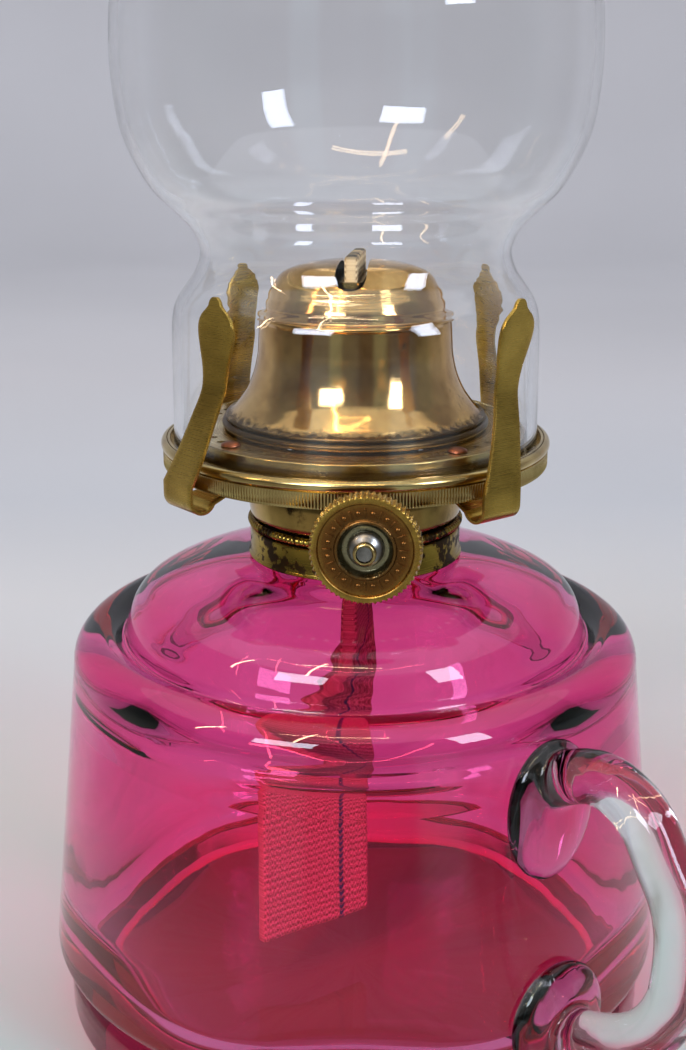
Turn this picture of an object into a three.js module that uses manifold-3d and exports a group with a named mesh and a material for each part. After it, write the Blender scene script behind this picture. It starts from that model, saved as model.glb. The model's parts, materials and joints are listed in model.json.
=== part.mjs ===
// Finger lamp: a cranberry glass font with an applied finger handle, a flat-wick
// burner with a perforated gallery and four spring prongs, and a clear glass chimney.
// Millimetres, +Z up, origin at the middle of the base on the table.
// The handle points along +X. The burner is turned about Z by burner.turn.
import * as THREE from "three";
import { mergeVertices } from "three/addons/utils/BufferGeometryUtils.js";
import Module from "manifold-3d";

const wasm = await Module();
wasm.setup();

// Clearances shared by all pieces
const seatGap = 0.3;
const fitGap = 0.12;
const cutOverrun = 1;

// Font: the glass oil reservoir, one revolved piece open at the neck
const font = {
  footRadius: 54.6,
  footRound: 2.4,
  footHeight: 10.2,
  grooveRadius: 52.9,
  grooveHeight: 1.8,
  heelRadius: 56.7,
  heelRound: 3.6,
  sideTopRadius: 51.1,
  shoulderRound: 5.4,
  shoulderTop: 74.5,
  creaseRadius: 41.8,
  creaseHeight: 72.9,
  domeTop: 87.2,
  neckRadius: 16.4,
  neckTop: 89,
  neckBore: 13.2,
  wall: 3.9,
  domeWall: 3.3,
  floor: 9,
  cornerRound: 9,
};

// Handle: a clear glass rod bent into a loop, with a flattened gather at each end
const handle = {
  rodRadius: 4.4,
  upperHeight: 61.5,
  lowerHeight: 18.5,
  topRise: 5,
  reach: 81,
  bellyHeight: 45,
  upperGather: { out: 3.4, side: 9, up: 12.2, drop: 4.6 },
  lowerGather: { out: 3.6, side: 9.8, up: 10.5, drop: -1.5 },
  endDepth: 6,
};

// Collar: brass, cemented over the glass neck, threaded inside
const collar = {
  radius: 18.8,
  sheet: 0.5,
  bottom: 87.35,
  top: 92.5,
  lip: 0.35,
  threadRadius: 15.95,
  threadDrop: 3.2,
};

// Burner base: the screw ring with its rope bead, and the bowl above it
const screwRing = {
  bore: 14.9,
  length: 3.3,
  beadRadius: 19.25,
  beadHeight: 1.5,
  threadGap: 0.2,
};
const bowl = {
  radius: 19,
  footRadius: 18.3,
  mouthRadius: 15.6,
  height: 8.6,
  sheet: 0.5,
};
const basket = {
  topRadius: 23.4,
  sheet: 0.45,
};
const burner = {
  turn: -41,
};

// Gallery: the stepped seat for the chimney, its knurled band and the perforated air plate
const gallery = {
  seatHeight: 107.35,
  sheet: 0.45,
  innerRadius: 29.3,
  outerRadius: 33.05,
  rimTop: 108.9,
  plateTop: 110.65,
  plateInner: 22.2,
  plateGap: 0.3,
  holeRadius: 0.78,
  holeCircle: 26.2,
  holeCount: 44,
};
const band = {
  radius: 33.85,
  bottom: 104.3,
  sheet: 0.55,
  beadHeight: 1.9,
  beadProud: 0.3,
};

// Wick, its tube and the lift mechanism
const wick = {
  width: 22,
  thickness: 2.2,
  top: 141.8,
  bottom: 17,
  straightTo: 70,
  turnedBy: 56,
  endTwist: 48,
  endRight: -6.5,
  endFront: 7.5,
};
const tube = {
  wall: 0.45,
  clearance: 0.45,
  top: 136.6,
  bottom: 92.2,
  cornerRound: 1.2,
};
const lift = {
  spindleRadius: 1.2,
  spindleHeight: 100.5,
  spindleInner: -11.6,
  wheelRadius: 3.2,
  wheelRoot: 2.1,
  wheelTeeth: 8,
  wheelThickness: 0.9,
  wheelPitch: 5.6,
  wheelCount: 3,
  sleeveRadius: 2.2,
  sleeveStart: 14.5,
  sleeveEnd: 30,
  boxLength: 18.4,
  boxHeight: 8.4,
  boxSheet: 0.4,
  ventRadius: 1.5,
  ventBore: 1,
  ventOffset: 8.6,
  ventTop: 107.5,
};

// Knob: a knurled thumbwheel with a dished face, a domed boss and a ferrule
const knob = {
  radius: 8.75,
  thickness: 3.4,
  front: 42.5,
  teeth: 54,
  toothDepth: 0.3,
  rimWidth: 1.1,
  bandDepth: 0.45,
  ridgeRadius: 4.4,
  ridgeWidth: 0.45,
  dishRadius: 3.9,
  dishDepth: 1.5,
  bossRadius: 2.9,
  bossHeight: 1.7,
  ferruleRadius: 1.8,
  ferruleProud: 1.9,
};

// Prongs: four spring strips riveted under the air plate
const prong = {
  thickness: 0.6,
  rootWidth: 5.6,
  footWidth: 7.8,
  waistWidth: 5.2,
  headWidth: 7.7,
  rivetCircle: 26.4,
  rootInner: 24.8,
  kneeRadius: 28.5,
  loopDrop: 3,
  loopInner: 33,
  loopOuter: 37.5,
  touchHeight: 122,
  top: 136.3,
  angles: [-46, 42.5, 134, -133],
  leans: [8.3, 6.6, 0, -1.5],
  touchStandOffs: [0.2, 2.3, 1.2, 0.9],
  tipFlares: [0.3, 1.7, 1.3, 1.6],
};
const rivet = {
  headRadius: 1.6,
  headHeight: 0.7,
  shankRadius: 0.85,
};

// Deflector: the flame dome that stands on the air plate
const deflector = {
  baseRadius: 23.5,
  beadRadius: 22.95,
  bellHeight: 18.9,
  bellTopRadius: 16.75,
  ledgeRadius: 16.95,
  ledgeHeight: 0.9,
  tierRadius: 15.35,
  beadHeight: 2.7,
  height: 29.4,
  sheet: 0.45,
  slotWidth: 5.2,
  slotDepth: 5.2,
};

// Chimney: blown glass with a straight foot, a neck, a bulb and a tall taper
const chimney = {
  footRadius: 31.9,
  shoulderRadius: 31.7,
  shoulderHeight: 19,
  neckRadius: 26.5,
  neckHeight: 33.5,
  bulbRadius: 40.35,
  bulbHeight: 66,
  topRadius: 22.6,
  height: 203,
  wall: 1.6,
};

// How finely round shapes are cut
const facets = {
  glass: 28,
  dome: 22,
  gallery: 28,
  ring: 24,
  small: 14,
  pin: 10,
  rivet: 8,
  hole: 6,
  rod: 10,
  rodSteps: 22,
};

// Materials
function finish(color, roughness, metalness, opacity = 1) {
  return new THREE.MeshStandardMaterial({
    color,
    roughness,
    metalness,
    opacity,
    transparent: opacity < 1,
  });
}
const materials = {
  cranberry: finish(0xc2255c, 0.05, 0, 0.5),
  clear: finish(0xdfe6ea, 0.04, 0, 0.3),
  brass: finish(0xa8863f, 0.32, 1),
  darkBrass: finish(0x6f5530, 0.4, 1),
  steel: finish(0x9a9ba0, 0.35, 1),
  cotton: finish(0xc9a77c, 0.95, 0),
  plaster: finish(0xd9d2c3, 0.9, 0),
};

const radians = THREE.MathUtils.degToRad;

// Small helpers for outlines: a point is [radius, height]
function between(a, b, share) {
  return a + (b - a) * share;
}
function arc(centreR, centreZ, radius, from, to, steps) {
  return Array.from({ length: steps + 1 }, (_, i) => {
    const angle = radians(between(from, to, i / steps));
    return [centreR + radius * Math.cos(angle), centreZ + radius * Math.sin(angle)];
  });
}
function spread(start, end, shares) {
  return shares.map(([rShare, zShare]) => [
    between(start[0], end[0], rShare),
    between(start[1], end[1], zShare),
  ]);
}
function offset(points, distance) {
  return points.map((point, i) => {
    const before = points[Math.max(i - 1, 0)];
    const after = points[Math.min(i + 1, points.length - 1)];
    const dr = after[0] - before[0];
    const dz = after[1] - before[1];
    const length = Math.hypot(dr, dz);
    return [point[0] - (distance * dz) / length, point[1] + (distance * dr) / length];
  });
}

// A revolved solid from an outline that runs counter-clockwise in (radius, height)
function revolve(outline, segments, closed = true) {
  const points = outline.map(([r, z]) => new THREE.Vector2(r, z));
  if (closed) points.push(points[0].clone());
  const geometry = new THREE.LatheGeometry(points, segments);
  geometry.rotateX(Math.PI / 2);
  return merged(geometry);
}
function merged(geometry) {
  const bare = geometry.index ? geometry.toNonIndexed() : geometry.clone();
  for (const name of Object.keys(bare.attributes)) {
    if (name !== "position") bare.deleteAttribute(name);
  }
  const welded = mergeVertices(bare, 1e-4);
  return dropSlivers(welded);
}
function dropSlivers(geometry) {
  const index = geometry.index.array;
  const kept = [];
  for (let i = 0; i < index.length; i += 3) {
    const [a, b, c] = [index[i], index[i + 1], index[i + 2]];
    if (a !== b && b !== c && c !== a) kept.push(a, b, c);
  }
  geometry.setIndex(kept);
  return geometry;
}

// Solids for cuts and joins
function solid(geometry) {
  const clean = geometry.index && !geometry.attributes.normal ? geometry : merged(geometry);
  const body = new wasm.Mesh({
    numProp: 3,
    vertProperties: new Float32Array(clean.attributes.position.array),
    triVerts: new Uint32Array(clean.index.array),
  });
  return new wasm.Manifold(body);
}
function shape(body) {
  const mesh = body.getMesh();
  const geometry = new THREE.BufferGeometry();
  geometry.setAttribute("position", new THREE.BufferAttribute(mesh.vertProperties, 3));
  geometry.setIndex(new THREE.BufferAttribute(mesh.triVerts, 1));
  return geometry;
}
function block(low, high) {
  const size = high.map((value, i) => value - low[i]);
  const geometry = new THREE.BoxGeometry(...size);
  geometry.translate(...low.map((value, i) => value + size[i] / 2));
  return geometry;
}
function rodAlongX(radius, start, end, segments) {
  const geometry = new THREE.CylinderGeometry(radius, radius, end - start, segments);
  geometry.rotateZ(-Math.PI / 2);
  geometry.translate((start + end) / 2, 0, 0);
  return geometry;
}
function rodAlongZ(radius, start, end, segments) {
  const geometry = new THREE.CylinderGeometry(radius, radius, end - start, segments);
  geometry.rotateX(Math.PI / 2);
  geometry.translate(0, 0, (start + end) / 2);
  return geometry;
}

// Lofts a stack of equal loops of points into one closed solid
function loft(loops) {
  const count = loops[0].length;
  const positions = loops.flat().flatMap((p) => [p.x, p.y, p.z]);
  const index = [];
  for (let k = 0; k + 1 < loops.length; k += 1) {
    for (let i = 0; i < count; i += 1) {
      const a = k * count + i;
      const b = k * count + ((i + 1) % count);
      index.push(a, b, a + count, b, b + count, a + count);
    }
  }
  const last = (loops.length - 1) * count;
  for (let i = 1; i + 1 < count; i += 1) {
    index.push(0, i + 1, i);
    index.push(last, last + i, last + i + 1);
  }
  const geometry = new THREE.BufferGeometry();
  geometry.setAttribute("position", new THREE.Float32BufferAttribute(positions, 3));
  geometry.setIndex(index);
  return geometry;
}

const lamp = new THREE.Group();
const burnerGroup = new THREE.Group();
burnerGroup.rotation.z = radians(burner.turn);
lamp.add(burnerGroup);

function piece(name, geometry, material, group = burnerGroup) {
  const mesh = new THREE.Mesh(geometry, material);
  mesh.name = name;
  group.add(mesh);
  return mesh;
}

// Font outlines, outside and inside
const domeShares = [
  [0.01, 0.15], [0.05, 0.36], [0.13, 0.54], [0.27, 0.69], [0.46, 0.82], [0.7, 0.93], [1, 1],
];
const creaseShares = [[0.4, 0.22], [0.75, 0.72]];
const domeInsideShares = [[0.38, 0.06], [0.62, 0.18], [0.84, 0.39], [0.94, 0.68], [1, 1]];
function fontOutside() {
  const heelBase = font.footHeight + font.grooveHeight;
  const shoulderR = font.sideTopRadius - font.shoulderRound;
  const shoulderZ = font.shoulderTop - font.shoulderRound;
  const crown = [shoulderR, font.shoulderTop];
  const crease = [font.creaseRadius, font.creaseHeight];
  return [
    [font.footRadius - font.footRound, 0],
    ...arc(font.footRadius - font.footRound, font.footRound, font.footRound, -45, 0, 2),
    [font.footRadius, font.footHeight - font.footRound / 2],
    [font.footRadius - font.footRound / 2, font.footHeight],
    [font.grooveRadius, font.footHeight + font.grooveHeight / 2],
    ...arc(font.heelRadius - font.heelRound, heelBase + font.heelRound, font.heelRound, -80, 0, 4),
    ...arc(shoulderR, shoulderZ, font.shoulderRound, 0, 90, 5),
    ...spread(crown, crease, creaseShares),
    crease,
    ...spread(crease, [font.neckRadius, font.domeTop], domeShares),
  ];
}
function fontInside() {
  const heelZ = font.footHeight + font.grooveHeight + font.heelRound;
  const sideInner = font.sideTopRadius - font.wall;
  const innerRound = font.shoulderRound - font.wall;
  const neck = [font.neckBore, font.domeTop - font.domeWall];
  const shoulderZ = font.shoulderTop - font.shoulderRound;
  const crease = [font.creaseRadius - font.wall / 2, font.creaseHeight - font.domeWall];
  const floorRound = font.cornerRound;
  const bottomR = font.heelRadius - font.wall;
  return [
    neck,
    ...spread(neck, crease, domeInsideShares),
    ...arc(sideInner - innerRound, shoulderZ, innerRound, 60, 0, 2),
    [bottomR, Math.max(heelZ, font.floor + floorRound)],
    ...arc(bottomR - floorRound, font.floor + floorRound, floorRound, -20, -90, 3),
  ];
}
const fontOutline = [
  [0, 0],
  ...fontOutside(),
  [font.neckRadius, font.neckTop],
  [font.neckBore, font.neckTop],
  ...fontInside(),
  [0, font.floor],
];
piece("font", revolve(fontOutline, facets.glass, false), materials.cranberry, lamp);

// Handle: the rod follows a smooth loop in the XZ plane, then the font's form is cut away
function fontRadiusAt(height) {
  const side = (height - font.footHeight) / (font.shoulderTop - font.footHeight);
  return between(font.heelRadius, font.sideTopRadius, side);
}
const crownShares = [[0.08, 0.34], [0.24, 0.8], [0.41, 1], [0.58, 0.78], [0.71, 0.28]];
const outerShares = [[0.83, 0.79], [0.94, 0.51], [0.99, 0.24], [1, 0]];
const returnShares = [[0.99, 0.17], [0.95, 0.36], [0.83, 0.57], [0.64, 0.75], [0.4, 0.88], [0.16, 0.96]];
function handlePath() {
  const upper = fontRadiusAt(handle.upperHeight);
  const lower = fontRadiusAt(handle.lowerHeight);
  const crown = [handle.reach, handle.upperHeight + handle.topRise];
  const points = [
    [upper - handle.endDepth, handle.upperHeight - handle.topRise / 2],
    ...spread([upper, handle.upperHeight], crown, crownShares),
    ...spread([upper, handle.bellyHeight], [handle.reach, handle.upperHeight], outerShares),
    ...spread([lower, handle.bellyHeight], [handle.reach, handle.lowerHeight], returnShares),
    [lower - handle.endDepth, handle.lowerHeight],
  ];
  return new THREE.CatmullRomCurve3(points.map(([x, z]) => new THREE.Vector3(x, 0, z)));
}
function handleRod() {
  const path = handlePath();
  const side = new THREE.Vector3(0, 1, 0);
  const loops = [];
  for (let k = 0; k <= facets.rodSteps; k += 1) {
    const centre = path.getPointAt(k / facets.rodSteps);
    const out = side.clone().cross(path.getTangentAt(k / facets.rodSteps));
    loops.push(Array.from({ length: facets.rod }, (_, i) => {
      const angle = (2 * Math.PI * i) / facets.rod;
      return centre.clone()
        .addScaledVector(out, handle.rodRadius * Math.cos(angle))
        .addScaledVector(side, handle.rodRadius * Math.sin(angle));
    }));
  }
  return loft(loops);
}
function gather(size, height) {
  const geometry = new THREE.SphereGeometry(1, facets.small, facets.rod);
  geometry.scale(size.out, size.side, size.up);
  geometry.translate(fontRadiusAt(height), 0, height - size.drop);
  return solid(geometry);
}
const fontForm = revolve(
  [
    [0, -cutOverrun],
    [font.footRadius + seatGap, -cutOverrun],
    ...offset(fontOutside().slice(2), -seatGap),
    [0, font.domeTop],
  ],
  facets.glass,
  false,
);
const handleBody = solid(handleRod())
  .add(gather(handle.upperGather, handle.upperHeight))
  .add(gather(handle.lowerGather, handle.lowerHeight))
  .subtract(solid(fontForm));
piece("finger_handle", shape(handleBody), materials.clear, lamp);

// Collar with its outer skirt, flat top and threaded inner wall, and the cement inside it
const threadBottom = collar.top - collar.threadDrop;
const collarOutline = [
  [collar.radius - collar.sheet, collar.bottom],
  [collar.radius + collar.lip, collar.bottom],
  [collar.radius, collar.bottom + 2 * collar.lip],
  [collar.radius, collar.top - collar.sheet],
  [collar.radius - collar.sheet, collar.top],
  [collar.threadRadius, collar.top],
  [collar.threadRadius, threadBottom],
  [collar.threadRadius + collar.sheet, threadBottom],
  [collar.threadRadius + collar.sheet, collar.top - collar.sheet],
  [collar.radius - collar.sheet, collar.top - collar.sheet],
];
piece("font_collar", revolve(collarOutline, facets.ring), materials.brass, lamp);
const cementInner = Math.max(font.neckRadius, collar.threadRadius + collar.sheet) + seatGap;
const cementOuter = collar.radius - collar.sheet - fitGap;
const cementOutline = [
  [cementInner, collar.bottom + seatGap],
  [cementOuter, collar.bottom + seatGap],
  [cementOuter, collar.top - collar.sheet - seatGap],
  [cementInner, collar.top - collar.sheet - seatGap],
];
piece("collar_cement", revolve(cementOutline, facets.ring), materials.plaster, lamp);

// Screw ring: the threaded shell inside the collar and the flange with its rope bead
const screwRadius = collar.threadRadius - screwRing.threadGap;
const flangeBottom = collar.top + seatGap;
const flangeTop = flangeBottom + screwRing.beadHeight;
const beadRound = screwRing.beadHeight / 2;
const screwOutline = [
  [screwRing.bore, flangeBottom - screwRing.length],
  [screwRadius, flangeBottom - screwRing.length],
  [screwRadius, flangeBottom],
  ...arc(screwRing.beadRadius - beadRound, flangeBottom + beadRound, beadRound, -90, 90, 3),
  [screwRing.bore, flangeTop],
];
piece("screw_ring", revolve(screwOutline, facets.ring), materials.darkBrass);

// Wick tube sizes, which the bowl, the deflector and the lift box also follow
const tubeInnerHalf = [wick.width / 2 + tube.clearance, wick.thickness / 2 + tube.clearance];
const tubeOuterHalf = tubeInnerHalf.map((half) => half + tube.wall);

// Bowl: closed below round the wick tube, open above into the basket
const bowlBottom = flangeTop + seatGap;
const bowlTop = bowlBottom + bowl.height;
const bowlShares = [[0, 0], [0.65, 0.08], [1, 0.3], [0.97, 0.55]];
const bowlMouthShares = [[0.22, 0.76], [0.6, 0.92], [1, 1]];
const bowlSide = [
  ...spread([bowl.footRadius, bowlBottom], [bowl.radius, bowlTop], bowlShares),
  ...spread([bowl.radius, bowlBottom], [bowl.mouthRadius, bowlTop], bowlMouthShares),
];
const bowlInside = offset(bowlSide, bowl.sheet).slice(1).reverse();
const bowlOutline = [
  [0, bowlBottom],
  ...bowlSide,
  ...bowlInside,
  [bowl.footRadius - bowl.sheet, bowlBottom + bowl.sheet],
  [0, bowlBottom + bowl.sheet],
];
const spindleSide = wick.thickness / 2 + seatGap + lift.wheelRadius;
function slotCut(halfX, halfY, low, high) {
  return solid(block([-halfX, -halfY, low], [halfX, halfY, high]));
}
function spindleCut(radius, start, end) {
  const geometry = rodAlongX(radius, start, end, facets.pin);
  geometry.translate(0, spindleSide, lift.spindleHeight);
  return solid(geometry);
}
const ventHole = rodAlongZ(lift.ventRadius + seatGap, bowlBottom - cutOverrun, bowlTop, facets.pin);
ventHole.translate(0, -lift.ventOffset, 0);
const bowlBody = solid(revolve(bowlOutline, facets.ring, false))
  .subtract(slotCut(
    tubeOuterHalf[0] + seatGap,
    tubeOuterHalf[1] + seatGap,
    bowlBottom - cutOverrun,
    bowlBottom + bowl.sheet + cutOverrun,
  ))
  .subtract(spindleCut(lift.sleeveRadius + seatGap, lift.sleeveStart, bowl.radius + cutOverrun))
  .subtract(solid(ventHole));
piece("burner_bowl", shape(bowlBody), materials.darkBrass);

// Basket: the flared neck that carries the air plate
const plateBottom = gallery.plateTop - gallery.sheet;
const basketTop = plateBottom - seatGap;
const basketShares = [[0, 0], [0.12, 0.3], [0.42, 0.66], [0.76, 0.92], [1, 1]];
const basketSide = spread(
  [bowl.mouthRadius, bowlTop + seatGap],
  [basket.topRadius, basketTop - basket.sheet],
  basketShares,
);
const basketOutline = [...basketSide, ...offset(basketSide, basket.sheet).reverse()];
piece("air_basket", revolve(basketOutline, facets.ring), materials.darkBrass);

// Air plate: a flat ring with a circle of small holes and one hole for each prong rivet
const plateOuter = gallery.innerRadius - gallery.plateGap;
const plateOutline = [
  [gallery.plateInner, plateBottom],
  [plateOuter, plateBottom],
  [plateOuter, gallery.plateTop],
  [gallery.plateInner, gallery.plateTop],
];
function roundHole(radius, circle, angle, segments) {
  const geometry = rodAlongZ(
    radius,
    plateBottom - cutOverrun,
    gallery.plateTop + cutOverrun,
    segments,
  );
  geometry.translate(circle * Math.cos(angle), circle * Math.sin(angle), 0);
  return solid(geometry);
}
let plateBody = solid(revolve(plateOutline, facets.gallery));
const rivetAngles = prong.angles.map(radians);
for (let i = 0; i < gallery.holeCount; i += 1) {
  const angle = (2 * Math.PI * (i + 0.5)) / gallery.holeCount;
  const reach = gallery.holeRadius + rivet.headRadius + fitGap;
  const clear = rivetAngles.every((rivetAngle) => {
    const gap = Math.hypot(
      gallery.holeCircle * Math.cos(angle) - prong.rivetCircle * Math.cos(rivetAngle),
      gallery.holeCircle * Math.sin(angle) - prong.rivetCircle * Math.sin(rivetAngle),
    );
    return gap > reach;
  });
  if (clear) {
    const hole = roundHole(gallery.holeRadius, gallery.holeCircle, angle, facets.hole);
    plateBody = plateBody.subtract(hole);
  }
}
for (const angle of rivetAngles) {
  const radius = rivet.shankRadius + seatGap;
  plateBody = plateBody.subtract(roundHole(radius, prong.rivetCircle, angle, facets.rivet));
}
piece("air_plate", shape(plateBody), materials.brass);

// Gallery: an inner wall up to the plate, the seat and the outer rim
const seatBottom = gallery.seatHeight - gallery.sheet;
const galleryOutline = [
  [gallery.innerRadius, seatBottom],
  [gallery.outerRadius, seatBottom],
  [gallery.outerRadius, gallery.rimTop],
  [gallery.outerRadius - gallery.sheet, gallery.rimTop],
  [gallery.outerRadius - gallery.sheet, gallery.seatHeight],
  [gallery.innerRadius + gallery.sheet, gallery.seatHeight],
  [gallery.innerRadius + gallery.sheet, gallery.plateTop],
  [gallery.innerRadius, gallery.plateTop],
];
piece("gallery", revolve(galleryOutline, facets.gallery), materials.brass);

// Band: the knurled strip round the gallery with a rounded bead on top
const bandInner = band.radius - band.sheet;
const bandBeadRadius = band.beadHeight / 2;
const bandOutline = [
  [bandInner, band.bottom],
  [band.radius, band.bottom],
  [band.radius, gallery.rimTop - band.beadHeight],
  ...arc(
    band.radius + band.beadProud - bandBeadRadius,
    gallery.rimTop - bandBeadRadius,
    bandBeadRadius,
    -70,
    90,
    3,
  ),
  [bandInner, gallery.rimTop],
];
piece("gallery_band", revolve(bandOutline, facets.gallery), materials.brass);

// Wick tube: a flat tube with rounded narrow ends and one slot for each lift wheel
function roundedFlat(halfX, halfY, round) {
  const outline = new THREE.Shape();
  outline.moveTo(-halfX + round, -halfY);
  outline.lineTo(halfX - round, -halfY);
  outline.absarc(halfX - round, -halfY + round, round, -Math.PI / 2, 0);
  outline.lineTo(halfX, halfY - round);
  outline.absarc(halfX - round, halfY - round, round, 0, Math.PI / 2);
  outline.lineTo(-halfX + round, halfY);
  outline.absarc(-halfX + round, halfY - round, round, Math.PI / 2, Math.PI);
  outline.lineTo(-halfX, -halfY + round);
  outline.absarc(-halfX + round, -halfY + round, round, Math.PI, 1.5 * Math.PI);
  return outline;
}
function flatTube(half, round, low, high) {
  const options = { depth: high - low, bevelEnabled: false, curveSegments: 3 };
  const geometry = new THREE.ExtrudeGeometry(roundedFlat(half[0], half[1], round), options);
  geometry.translate(0, 0, low);
  return solid(geometry);
}
const tubeBore = flatTube(
  tubeInnerHalf,
  tube.cornerRound - tube.wall,
  tube.bottom - cutOverrun,
  tube.top + cutOverrun,
);
const wheelPlaces = Array.from(
  { length: lift.wheelCount },
  (_, i) => (i - (lift.wheelCount - 1) / 2) * lift.wheelPitch,
);
let tubeBody = flatTube(tubeOuterHalf, tube.cornerRound, tube.bottom, tube.top).subtract(tubeBore);
const wheelSlotHalf = lift.wheelRadius + seatGap;
for (const place of wheelPlaces) {
  tubeBody = tubeBody.subtract(solid(block(
    [place - lift.wheelThickness / 2 - seatGap, 0, lift.spindleHeight - wheelSlotHalf],
    [place + lift.wheelThickness / 2 + seatGap, spindleSide, lift.spindleHeight + wheelSlotHalf],
  )));
}
piece("wick_tube", shape(tubeBody), materials.brass);

// Vent tube: lets air into the font as the oil goes down
const ventBody = solid(rodAlongZ(lift.ventRadius, tube.bottom, lift.ventTop, facets.pin))
  .subtract(solid(rodAlongZ(
    lift.ventBore,
    tube.bottom - cutOverrun,
    lift.ventTop + cutOverrun,
    facets.pin,
  )));
piece("vent_tube", shape(ventBody), materials.brass).position.y = -lift.ventOffset;

// Lift box: folded sheet over the wheels, open towards the tube
const boxNear = tubeOuterHalf[1] + seatGap;
const boxFar = spindleSide + lift.wheelRadius + seatGap + lift.boxSheet;
const boxLow = lift.spindleHeight - lift.boxHeight / 2;
const boxHigh = lift.spindleHeight + lift.boxHeight / 2;
const boxHalf = lift.boxLength / 2;
const boxBody = solid(block([-boxHalf, boxNear, boxLow], [boxHalf, boxFar, boxHigh]))
  .subtract(solid(block(
    [-boxHalf + lift.boxSheet, boxNear - cutOverrun, boxLow + lift.boxSheet],
    [boxHalf - lift.boxSheet, boxFar - lift.boxSheet, boxHigh - lift.boxSheet],
  )))
  .subtract(spindleCut(lift.spindleRadius + fitGap, -boxHalf - cutOverrun, boxHalf + cutOverrun));
piece("lift_box", shape(boxBody), materials.brass);

// Spindle, toothed lift wheels and the sleeve that the spindle runs in
const spindleGroup = new THREE.Group();
spindleGroup.position.set(0, spindleSide, lift.spindleHeight);
burnerGroup.add(spindleGroup);
const spindleEnd = knob.front + knob.ferruleProud - seatGap;
const spindleGeometry = rodAlongX(lift.spindleRadius, lift.spindleInner, spindleEnd, facets.pin);
piece("spindle", merged(spindleGeometry), materials.steel, spindleGroup);
function wheelGeometry() {
  const outline = new THREE.Shape();
  for (let i = 0; i < lift.wheelTeeth * 2; i += 1) {
    const radius = i % 2 ? lift.wheelRoot : lift.wheelRadius;
    const angle = (Math.PI * i) / lift.wheelTeeth;
    const x = radius * Math.cos(angle);
    const y = radius * Math.sin(angle);
    if (i === 0) outline.moveTo(x, y);
    else outline.lineTo(x, y);
  }
  const bore = new THREE.Path();
  bore.absarc(0, 0, lift.spindleRadius + fitGap, 0, 2 * Math.PI, true);
  outline.holes.push(bore);
  const options = { depth: lift.wheelThickness, bevelEnabled: false, curveSegments: facets.pin / 2 };
  const geometry = new THREE.ExtrudeGeometry(outline, options);
  geometry.translate(0, 0, -lift.wheelThickness / 2);
  geometry.rotateY(Math.PI / 2);
  return merged(geometry);
}
wheelPlaces.forEach((place, i) => {
  piece(`lift_wheel_${i + 1}`, wheelGeometry(), materials.brass, spindleGroup).position.x = place;
});
const runBore = lift.spindleRadius + fitGap;
function ringAlongX(outline, segments) {
  const geometry = revolve(outline, segments);
  geometry.rotateY(Math.PI / 2);
  return geometry;
}
const sleeveOutline = [
  [runBore, lift.sleeveStart],
  [lift.sleeveRadius, lift.sleeveStart],
  [lift.sleeveRadius, lift.sleeveEnd],
  [runBore, lift.sleeveEnd],
];
piece("spindle_sleeve", ringAlongX(sleeveOutline, facets.pin), materials.brass, spindleGroup);

// Knob: a toothed disc with a raised rim, a plain band, a ridge and a dish
function knobBlank() {
  const outline = new THREE.Shape();
  for (let i = 0; i < knob.teeth * 2; i += 1) {
    const radius = knob.radius - (i % 2 ? knob.toothDepth : 0);
    const angle = (Math.PI * i) / knob.teeth;
    const x = radius * Math.cos(angle);
    const y = radius * Math.sin(angle);
    if (i === 0) outline.moveTo(x, y);
    else outline.lineTo(x, y);
  }
  const geometry = new THREE.ExtrudeGeometry(outline, { depth: knob.thickness, bevelEnabled: false });
  geometry.rotateY(Math.PI / 2);
  geometry.translate(knob.front - knob.thickness, 0, 0);
  return solid(geometry);
}
const knobBandOuter = knob.radius - knob.toothDepth - knob.rimWidth;
const knobBack = knob.front - knob.thickness;
const ridgeTop = knob.front - fitGap;
const knobCut = ringAlongX([
  [runBore, knobBack - cutOverrun],
  [runBore, knob.front - knob.dishDepth],
  [knob.dishRadius, knob.front - knob.dishDepth],
  [knob.dishRadius + fitGap, ridgeTop],
  [knob.ridgeRadius, ridgeTop],
  [knob.ridgeRadius + knob.ridgeWidth, knob.front - knob.bandDepth],
  [knobBandOuter - knob.ridgeWidth, knob.front - knob.bandDepth],
  [knobBandOuter, ridgeTop],
  [knobBandOuter, knob.front + cutOverrun],
  [0, knob.front + cutOverrun],
  [0, knobBack - cutOverrun],
], facets.ring);
const knobBody = knobBlank().subtract(solid(knobCut));
piece("knob", shape(knobBody), materials.brass, spindleGroup);
const bossBase = knob.front - knob.dishDepth + seatGap;
const bossShares = [[1, 0.35], [0.86, 0.68], [0.62, 0.92]];
const bossOutline = [
  [runBore, bossBase],
  [knob.bossRadius, bossBase],
  ...bossShares.map(([out, up]) => [
    between(0, knob.bossRadius, out),
    bossBase + knob.bossHeight * up,
  ]),
  [runBore, bossBase + knob.bossHeight],
];
piece("knob_boss", ringAlongX(bossOutline, facets.small), materials.steel, spindleGroup);
const ferruleBase = bossBase + knob.bossHeight + seatGap;
const ferruleTop = knob.front + knob.ferruleProud;
const ferruleShares = [[0, 0], [1, 0], [1, 0.6], [0.6, 1], [0, 1]];
const ferruleOutline = spread(
  [runBore, ferruleBase],
  [knob.ferruleRadius, ferruleTop],
  ferruleShares,
);
piece("knob_ferrule", ringAlongX(ferruleOutline, facets.pin), materials.brass, spindleGroup);

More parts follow.
